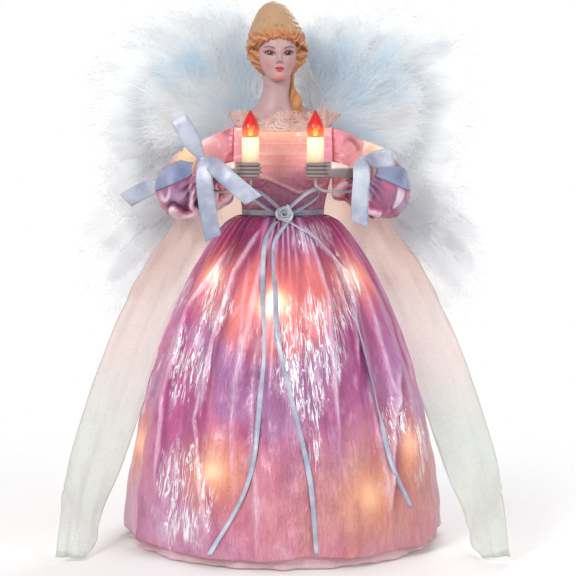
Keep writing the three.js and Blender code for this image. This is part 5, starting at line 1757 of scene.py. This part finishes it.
def make_cuff_bow(side, material):
    sign, arm = SIDES[side], f"{side}_arm"
    points, faces = together(bow_parts(side))
    points = mirrored(points, sign)
    made = piece(f"{side}_bow", points, faces, material, arm, [f"{side}_cuff_bow"])
    thicken(made, 0.25)
    points, faces = knot_mesh(KNOT, 2.8)
    face_out(piece(f"{side}_knot", mirrored(points, sign), faces, material, arm))


# Waist

# Place across the gown and share of its height
WAIST_TAILS = [
    [(-5, 0.984), (-10, 0.938), (-11.4, 0.771), (-10, 0.646), (-12.8, 0.484), (-19.3, 0.255), (-41, 0.042)],
    [(2, 0.984), (-4.5, 0.932), (-4.3, 0.781), (-2.8, 0.656), (5.6, 0.469), (14.9, 0.26), (18.7, 0.047)],
    [(5, 0.984), (15, 0.953), (26, 0.901), (39, 0.75), (48, 0.573), (55, 0.417), (62, 0.276), (73, 0.146)],
]

# Share of the loop's reach, way back and share of its rise
WAIST_LOOP = [
    (0, 0.6, 0),
    (0.35, -2.2, 0.5),
    (0.75, -2.6, 0.95),
    (1, -1.2, 1.05),
    (1.02, 0.6, 0.8),
    (0.7, 1.2, 0.4),
    (0.35, 0.8, 0.1),
    (0, 0.6, 0),
]


def on_gown(x, height, lift):
    """A point on the front of the dressed gown at a given x and height."""
    height = np.array(height)
    angle = np.arcsin(np.clip(x / gown_point(np.array(np.pi / 2), height, 3.0)[0], -1, 1))
    for _ in range(6):
        place = gown_point(np.array(angle), height, gown_folds(np.array(angle), height) + lift)
        angle += (x - place[0]) / max(abs(place[1]), 20.0)
    return place


def waist_tail(tail, number, on_edge):
    """A tail of fine ribbon from the bow down the gown, which may stand on its edge in the middle."""
    start = BOW_CENTRE + np.array([np.sign(tail[0][0]), 1, -0.5])
    shares = np.linspace(0, 1, 110)
    turned = on_edge * smooth(shares, 0.05, 0.15) * (1 - smooth(shares, 0.68, 0.84))
    flat = spline([(x, share * GOWN_TOP) for x, share in tail], shares)
    path = np.array([on_gown(x, z, 1.0 + 0.8 * lift) for (x, z), lift in zip(flat, turned)])
    for _ in range(3):
        smoothed(path)
    lead_in = spline([start, start + np.array([0, -1.2, -2.5]), path[0]], np.linspace(0, 1, 8))[:-1]
    path = np.vstack([lead_in, path])
    turned = np.concatenate([np.zeros(len(lead_in)), turned])
    twist = 0.9 * np.sin(np.linspace(0, 1, len(path)) * 9 + 2 * number) * (1 - turned) + 1.4 * turned
    out = 0.5 + 0.5 * turned
    across = np.stack([np.cos(twist), -out * np.sin(twist), 0.1 * np.sin(twist)], axis=-1)
    return strip(path, across, FINE_RIBBON_WIDTH, 5, 0.2)


def make_waist_tails(material):
    """Loops of fine ribbon at the waist and three tails down the front of the gown, the last one on edge."""
    last = len(WAIST_TAILS) - 1
    parts = [waist_tail(tail, number, float(number == last)) for number, tail in enumerate(WAIST_TAILS)]
    for sign in (-1, 1):
        route = [BOW_CENTRE + np.array([sign * 19 * a, b, 13 * c]) for a, b, c in WAIST_LOOP]
        path = spline(route, np.linspace(0, 1, 60))
        parts.append(strip(path, (-sign * 0.3, 0.75, 0.58), FINE_RIBBON_WIDTH, 5, 0.15))
    points, faces = together(parts)
    made = piece("waist_tails", points, faces, material, "root", ["waist_bow"])
    return thicken(made, 0.25)


def make_waist_sash(material):
    columns, rows = 220, 12
    base, top = 193, 196.2
    angle, height = np.meshgrid(around(columns), np.linspace(base, top, rows))
    fold = 0.2 * np.cos((height - base) * 4) + 0.15 * np.cos(30 * angle)
    points = torso_point(angle, height, 2.1 + fold)
    faces = grid_faces(rows, columns, looped=True)
    made = piece("waist_sash", points, faces, material, "root", ["waist_ribbon"])
    return thicken(made, 0.3)


def make_rose(material):
    """A ribbon rolled into a rose: a loose spiral of overlapped petals."""
    steps, columns, turns = 420, 12, 3.2
    shares = np.linspace(0, 1, steps)[:, None]
    lift = np.linspace(0, 1, columns)
    turn = TURN * turns * shares
    petal = np.abs(np.sin(turn * 1.3))
    radius = 0.4 + 3.4 * shares**0.8 + lift * (0.5 + 1.4 * shares) * (0.5 + 0.6 * petal)
    depth = 2.8 * lift * (1 - 0.55 * shares) * (0.75 + 0.3 * petal) - 0.2
    spiral = np.stack([radius * np.cos(turn), -depth, radius * np.sin(turn)], axis=-1)
    points = BOW_CENTRE - 4.0 * BACKWARD + spiral
    faces = grid_faces(steps, columns)
    made = piece("waist_rosette", points, faces, material, "root", ["waist_rose"])
    return thicken(made, 0.3)


# Stole

STOLE_BACK = 25.5

# The stole's edges behind the back, from the middle to the side
STOLE_INNER = [(0, STOLE_BACK + 4, 188), (28, STOLE_BACK + 3, 183), (40, STOLE_BACK + 0.5, 176)]
STOLE_OUTER = [(0, STOLE_BACK, 214), (30, STOLE_BACK, 216), (57, STOLE_BACK - 2.5, 211)]

# Down the gown: degrees forward of the side, height, way off the gown, width and tilt in degrees
STOLE_FALLS = [
    (-20, 0.87 * GOWN_TOP, 1, 27, 38),
    (-18, 0.781 * GOWN_TOP, -1, 31, 24),
    (-14, 0.656 * GOWN_TOP, -1.5, 33, 16),
    (-9, 0.51 * GOWN_TOP, -1.5, 34, 13),
    (-2, 0.365 * GOWN_TOP, 0, 33, 12),
    (8, 0.219 * GOWN_TOP, 5, 31, 22),
    (17, 0.089 * GOWN_TOP, 16, 30, 46),
    (24, 4.0, 22, 35, 57),
    (30, 1.0, 33, 18, 8),
]


def stole_edges():
    """Points on the inner and the outer edge, from the middle of the back to one end."""
    inner, outer = list(STOLE_INNER), list(STOLE_OUTER)
    for azimuth, height, away, width, tilt in STOLE_FALLS:
        shift = pleat_reach(gown_fall(height)) + CLOTH + 0.9 + away
        low = gown_point(np.array(math.radians(90 - azimuth)), np.array(height), shift)
        rise = math.radians(tilt)
        inner.append(low)
        outer.append(low + width * (unit([low[0], low[1], 0]) * math.cos(rise) + UP * math.sin(rise)))
    return inner, outer


def stole_waves(along, shares, phase):
    """How far the cloth stands out sideways: waves, creases and a fluttering edge."""
    length = along * 10
    flat = np.stack(np.broadcast_arrays(30 * shares, 11 * length + 40 * phase, 0.0), axis=-1)
    waves = 0.9 * np.sin(TURN * (1.2 * shares + 0.2 * np.sin(length * 1.1 + phase)))
    creases = 0.9 * ripple(flat * np.array([1, 0.45, 1]), 77, 12.0)
    fine = 0.35 * ripple(flat * np.array([1, 0.7, 1]), 78, 5.0)
    edge = np.abs(2 * shares - 1) ** 6
    flutter = edge * np.sin(length * 7 + 3 * shares + phase + np.sin(3 * length))
    return smooth(along, 0.15, 0.4) * (waves + creases + fine + flutter)


def make_stole(material):
    """A long scarf of organza behind the back, which falls beside the gown to the floor."""
    columns, rows = 72, 460
    signed = np.linspace(-1, 1, rows)[:, None]
    along = np.abs(signed)
    shares = np.linspace(0, 1, columns)
    low, high = (spline(edge, along[:, 0])[:, None] for edge in stole_edges())
    points = low + (high - low) * shares[:, None]
    sideways = np.cross(unit(points * np.array([1, 1, 0])), UP)
    points = points + sideways * stole_waves(along, shares, np.where(signed < 0, 1.3, 0.0))[..., None]
    points[..., 2] = np.maximum(points[..., 2], 0.5)
    points[..., 0] *= np.where(signed < 0, -1, 1)
    faces = grid_faces(rows, columns)
    made = piece("stole_scarf", points, faces, material, "root", ["stole"])
    height = points[..., 2]
    edging = np.maximum(smooth(np.abs(2 * shares - 1), 0.95, 0.98), smooth(along, 0.988, 0.992))
    layers = [
        (smooth(-height, -176, -120), (244, 228, 226)),
        (smooth(-height, -115, -60), (228, 238, 234)),
        (0.6 * edging, (206, 204, 198)),
    ]
    # Painted light: amber at the waist sides and peach near the lamps under the gown.
    waist = 0.4 * bump(height, 197, 12) * bump(np.abs(points[..., 0]), 34, 14)
    peach_lamp_light = 0.06 * smooth(lamp_light(points, 40.0), 0.05, 0.6)
    paint(made, "tint", layered(srgb(248, 220, 208), layers))
    paint(made, "cover", 0.55 + 0.25 * edging)
    paint(made, "glow", glow_of(waist, 255, 186, 96) + glow_of(peach_lamp_light, 255, 190, 176))
    return thicken(made, 0.25)


# Wings, with angles in degrees up from the side

# Name, CAD node, first and last angle, number of feathers, share of the wing's length, width and depth
FEATHER_LAYERS = [
    ("long", "primaries", (-58, 92, 20), 1.0, 30, PRIMARY_Y),
    ("short", "coverts", (-46, 82, 15), 0.7, 27, COVERT_Y),
]

FEATHER_SEEDS = {"left": 29, "right": 11}
DOWN_SEEDS = {"left": 17, "right": 5}


def wing_length(angle):
    long = 48 * bump(angle, -45, 16)
    shoulder = 17 * bump(angle, 30, 17)
    return 88 + long + shoulder - 14 * smooth(angle, 62, 100)


def barb_lines(foot, aim, curl, reach, steps):
    """Curved lines of points, one from each foot."""
    t = np.linspace(0, 1, steps + 1)[:, None]
    reach = reach[:, None]
    return foot[:, None] + aim[:, None] * (reach * t) + curl[:, None] * (reach * t**2)


def barb_points(lines, flat, widths, taper):
    """Narrow strips along the lines, drawn in to their ends."""
    t = np.linspace(0, 1, lines.shape[1])[:, None]
    half = unit(flat)[:, None] * (widths * (1 - taper * t))
    return np.stack([lines - half, lines + half], axis=2).reshape(-1, 3)


def loose_barbs(rng, vane_points, tangents, across):
    """Fine barbs that stray from the edges and the tip of a vane."""
    rows, columns = vane_points.shape[:2]
    strays, steps = 90, 4
    row = rng.integers(rows // 3, rows, strays)
    first_edge = rng.random(strays) < 0.5
    column = np.where(first_edge, rng.integers(1, 5, strays), rng.integers(columns - 5, columns - 1, strays))
    tip = rng.random(strays) < 0.4
    row = np.where(tip, rng.integers(rows - 8, rows, strays), row)
    column = np.where(tip, rng.integers(3, columns - 3, strays), column)
    side = (np.where(column < columns / 2, -1, 1) * np.where(tip, 0.2, 1.0))[:, None]
    aim = tangents[row] * rng.uniform(0.8, 1.2, (strays, 1))
    aim = aim + across[row] * side * rng.uniform(0.2, 0.6, (strays, 1))
    aim = aim + BACKWARD * rng.normal(0, 0.08, (strays, 1))
    reach = rng.uniform(4, 9, (strays, 1))
    curl = rng.normal(0, 0.2, (strays, 3)) * np.array([1, 0.3, 1])
    lines = barb_lines(vane_points[row, column], aim, curl, reach, steps)
    return barb_points(lines, np.cross(aim, BACKWARD), 0.13, 0.8), strand_faces(strays, steps)


def feather_mesh(rng, root, angle, length, width, y, droop):
    """A broad soft feather on a curved shaft: two wavy vanes, a rounded tip and loose barbs."""
    rows, columns = 60, 25
    tip, start = (np.array([math.cos(aim), math.sin(aim)]) for aim in np.radians([angle, angle + droop]))
    share = np.linspace(0, 1, rows)[:, None]
    bend = root + 0.55 * length * start
    end = root + length * tip
    line = (1 - share) ** 2 * root + 2 * share * (1 - share) * bend + share**2 * end
    slope = unit(2 * (1 - share) * (bend - root) + 2 * share * (end - bend))
    tangents = np.stack([slope[:, 0], np.zeros(rows), slope[:, 1]], axis=-1)
    across = np.stack([-slope[:, 1], np.zeros(rows), slope[:, 0]], axis=-1)
    path = np.stack([line[:, 0], np.full(rows, y), line[:, 1]], axis=-1)
    lean = np.linspace(-1, 1, columns)
    rounded = np.sqrt(np.clip(1 - np.clip((share - 0.66) / 0.34, 0, 1) ** 2.6, 0, 1))
    outline = np.clip(share / 0.3, 0, 1) ** 0.6 * rounded
    half = width / 2 * outline
    sweep = 0.2 * width * np.abs(lean) ** 1.5 * outline * (1 - smooth(share, 0.8, 1.0))
    shingle = 0.13 * lean * half
    waves = 0.35 * np.sin(6 * share + 3 * lean + rng.uniform(0, 6)) * np.abs(lean)
    points = path[:, None] + tangents[:, None] * sweep[..., None] + across[:, None] * (lean * half)[..., None]
    points[..., 1] += shingle + waves
    along = share * length / 10 - 0.6 * np.abs(lean) * width / 10
    vane = np.stack(np.broadcast_arrays(along, lean, 0.0), axis=-1)
    cover = (1 - 0.9 * smooth(np.abs(lean), 0.45, 1.0)) * (1 - 0.9 * smooth(share, 0.8, 1.0))
    shaft = path[: rows - 14 : 3] - 0.3 * BACKWARD
    shaft_part = tube(shaft, np.linspace(0.42, 0.1, len(shaft)), 6)
    loose_part = loose_barbs(rng, points, tangents, across)
    plain = len(shaft_part[0]) + len(loose_part[0])
    points, faces = together([(points, grid_faces(rows, columns)), shaft_part, loose_part])
    vanes = np.vstack([vane.reshape(-1, 3), np.zeros((plain, 3))])
    return points, faces, vanes, np.concatenate([cover.ravel(), np.ones(plain)])


def feather_fan(seed, spread, share, width, y):
    """Feathers side by side in the wing's plane, at three depths in turn."""
    rng = np.random.default_rng(seed)
    parts, vanes, covers = [], [], []
    for k, angle in enumerate(spread):
        length = (share * wing_length(angle) - FAN_ROOT) * (1 + rng.normal(0, 0.025))
        turn = math.radians(angle)
        root = np.array([FAN_X, FAN_Z]) + FAN_ROOT * np.array([math.cos(turn), math.sin(turn)])
        breadth = width * (1 + rng.normal(0, 0.06))
        droop = 6 + 16 * smooth(angle, -20, 30) + rng.normal(0, 1.5)
        aim = angle + rng.normal(0, 1.0)
        depth = y + 0.9 * (1 - k % 3)
        points, faces, vane, cover = feather_mesh(rng, root, aim, length, breadth, depth, droop)
        parts.append((points, faces))
        vanes.append(vane)
        covers.append(cover)
    return (*together(parts), np.vstack(vanes), np.concatenate(covers))


def own_side(points):
    """A right wing's points, kept off the other wing also when both are turned back."""
    points = points.copy()
    points[:, 0] = np.maximum(points[:, 0], 1.4 + 0.5 * np.maximum(points[:, 1] - 30.0, 0))
    return points


def make_feathers(side, material):
    for layer, (name, node, spread, share, width, y) in enumerate(FEATHER_LAYERS):
        seed = FEATHER_SEEDS[side] + layer
        points, faces, vane, cover = feather_fan(seed, np.linspace(*spread), share, width, y)
        points = mirrored(own_side(points), SIDES[side])
        nodes = [f"{side}_wing_{node}"]
        made = piece(f"{side}_{name}_feathers", points, faces, material, f"{side}_wing", nodes)
        note(made, "vane", vane)
        paint(made, "cover", cover)


def plume_points(rng, number, plume, strands, steps):
    """Fine curled barbs along one short plume."""
    turn = math.radians(plume + rng.normal(0, 2))
    direction = np.array([math.cos(turn), 0, math.sin(turn)])
    across = np.array([-math.sin(turn), 0, math.cos(turn)])
    length = 62 * (0.85 + 0.2 * math.sin(math.radians(plume) * 1.4)) * (1 + rng.normal(0, 0.08))
    share = rng.random((strands, 1)) ** 0.75
    foot = np.array([FAN_X, DOWN_Y + 1.7 * (number % 3 - 1), FAN_Z]) + direction * (length * share)
    foot = foot + across * rng.normal(0, 2.6, (strands, 1)) + rng.normal(0, 0.8, (strands, 3))
    lean = rng.normal(0, 0.55, (strands, 1)) - 0.12
    aim = direction * np.cos(lean) + across * np.sin(lean)
    aim = unit(aim + BACKWARD * rng.normal(-0.08, 0.2, (strands, 1)))
    reach = rng.uniform(9, 25, (strands, 1)) * (1 - 0.15 * share)
    curl = rng.normal(0, 0.25, (strands, 3)) + np.array([0, 0, -0.12])
    lines = barb_lines(foot, aim, curl, reach, steps)
    beside_head = (1 - smooth(lines[..., 0], 36, 44)) * smooth(lines[..., 2], 232, 238)
    lines[..., 1] = np.clip(lines[..., 1], 23.5 + 1.7 * beside_head, 38.0)
    flat = np.cross(aim, BACKWARD + rng.normal(0, 0.4, (strands, 3)))
    return barb_points(lines, flat, rng.uniform(0.07, 0.15, (strands, 1, 1)), 0.85)


def make_down(side, material):
    """Marabou: a cloud of fine curled barbs on short plumes."""
    rng = np.random.default_rng(DOWN_SEEDS[side])
    strands, steps = 1150, 5
    plumes = [plume_points(rng, k, plume, strands, steps) for k, plume in enumerate(np.linspace(2, 104, 15))]
    points = mirrored(own_side(np.concatenate(plumes)), SIDES[side])
    faces = strand_faces(len(plumes) * strands, steps)
    return piece(f"{side}_marabou", points, faces, material, f"{side}_wing", [f"{side}_wing_down"])


# The whole figure


def dress_cad():
    """Materials for the CAD solids that stay in view."""
    white = plastic_material("cone_plastic", (240, 236, 228), 0.45)
    socket = plastic_material("lamp_socket", (242, 240, 234), 0.4)
    cord = plastic_material("lamp_cord", (238, 236, 230), 0.5)
    wire, glass, card = wire_material(), lamp_material(), card_material()
    looks = {"cone_form": white, "torso_form": white, "wing_bracket": white, "lamp_wire": cord}
    for k in LAMPS:
        looks[f"lamp_socket_{k}"] = socket
        looks[f"lamp_{k}"] = glass
    for side in SIDES:
        looks[f"{side}_arm_wire"] = wire
        looks[f"{side}_wing_wire"] = wire
        looks[f"{side}_wing_card"] = card
        looks[f"{side}_candle_socket"] = socket
    for name, material in looks.items():
        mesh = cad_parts[name].data
        mesh.materials.clear()
        mesh.materials.append(material)


def dress():
    make_camera()
    lead = plastic_material("candle_cord", (176, 172, 170), 0.5)
    for side in SIDES:
        make_lead(side, lead)
    make_lights()
    make_floor(floor_material())
    dress_cad()
    satin = satin_material()
    ribbon = ribbon_material("blue_ribbon", (152, 157, 182), (202, 207, 223))
    band = ribbon_material("blue_band", (112, 122, 160), (162, 170, 204))
    skin = porcelain_material()
    make_waist_sash(ribbon)
    make_petticoat(sheer_material("petticoat_organza", (246, 232, 236), (255, 248, 250)))
    make_skirt(foil_material())
    make_bodice(satin)
    make_collar(lace_material())
    make_face(skin)
    make_hair(skin)
    make_waist_tails(ribbon)
    make_rose(ribbon_material("rose_ribbon", (206, 214, 224), (242, 245, 250)))
    make_stole(sheer_material("stole_organza", (240, 237, 232), (254, 253, 251)))
    candle, flame, filament = candle_material(), flame_material(), filament_material()
    feather, down = feather_material(), down_material()
    for side in SIDES:
        puff = make_sleeve(side, satin)
        make_band(side, puff, band)
        make_cuff_bow(side, ribbon)
        make_hand(side, skin)
        make_candle(side, candle, flame, filament)
        make_feathers(side, feather)
        make_down(side, down)


dress()
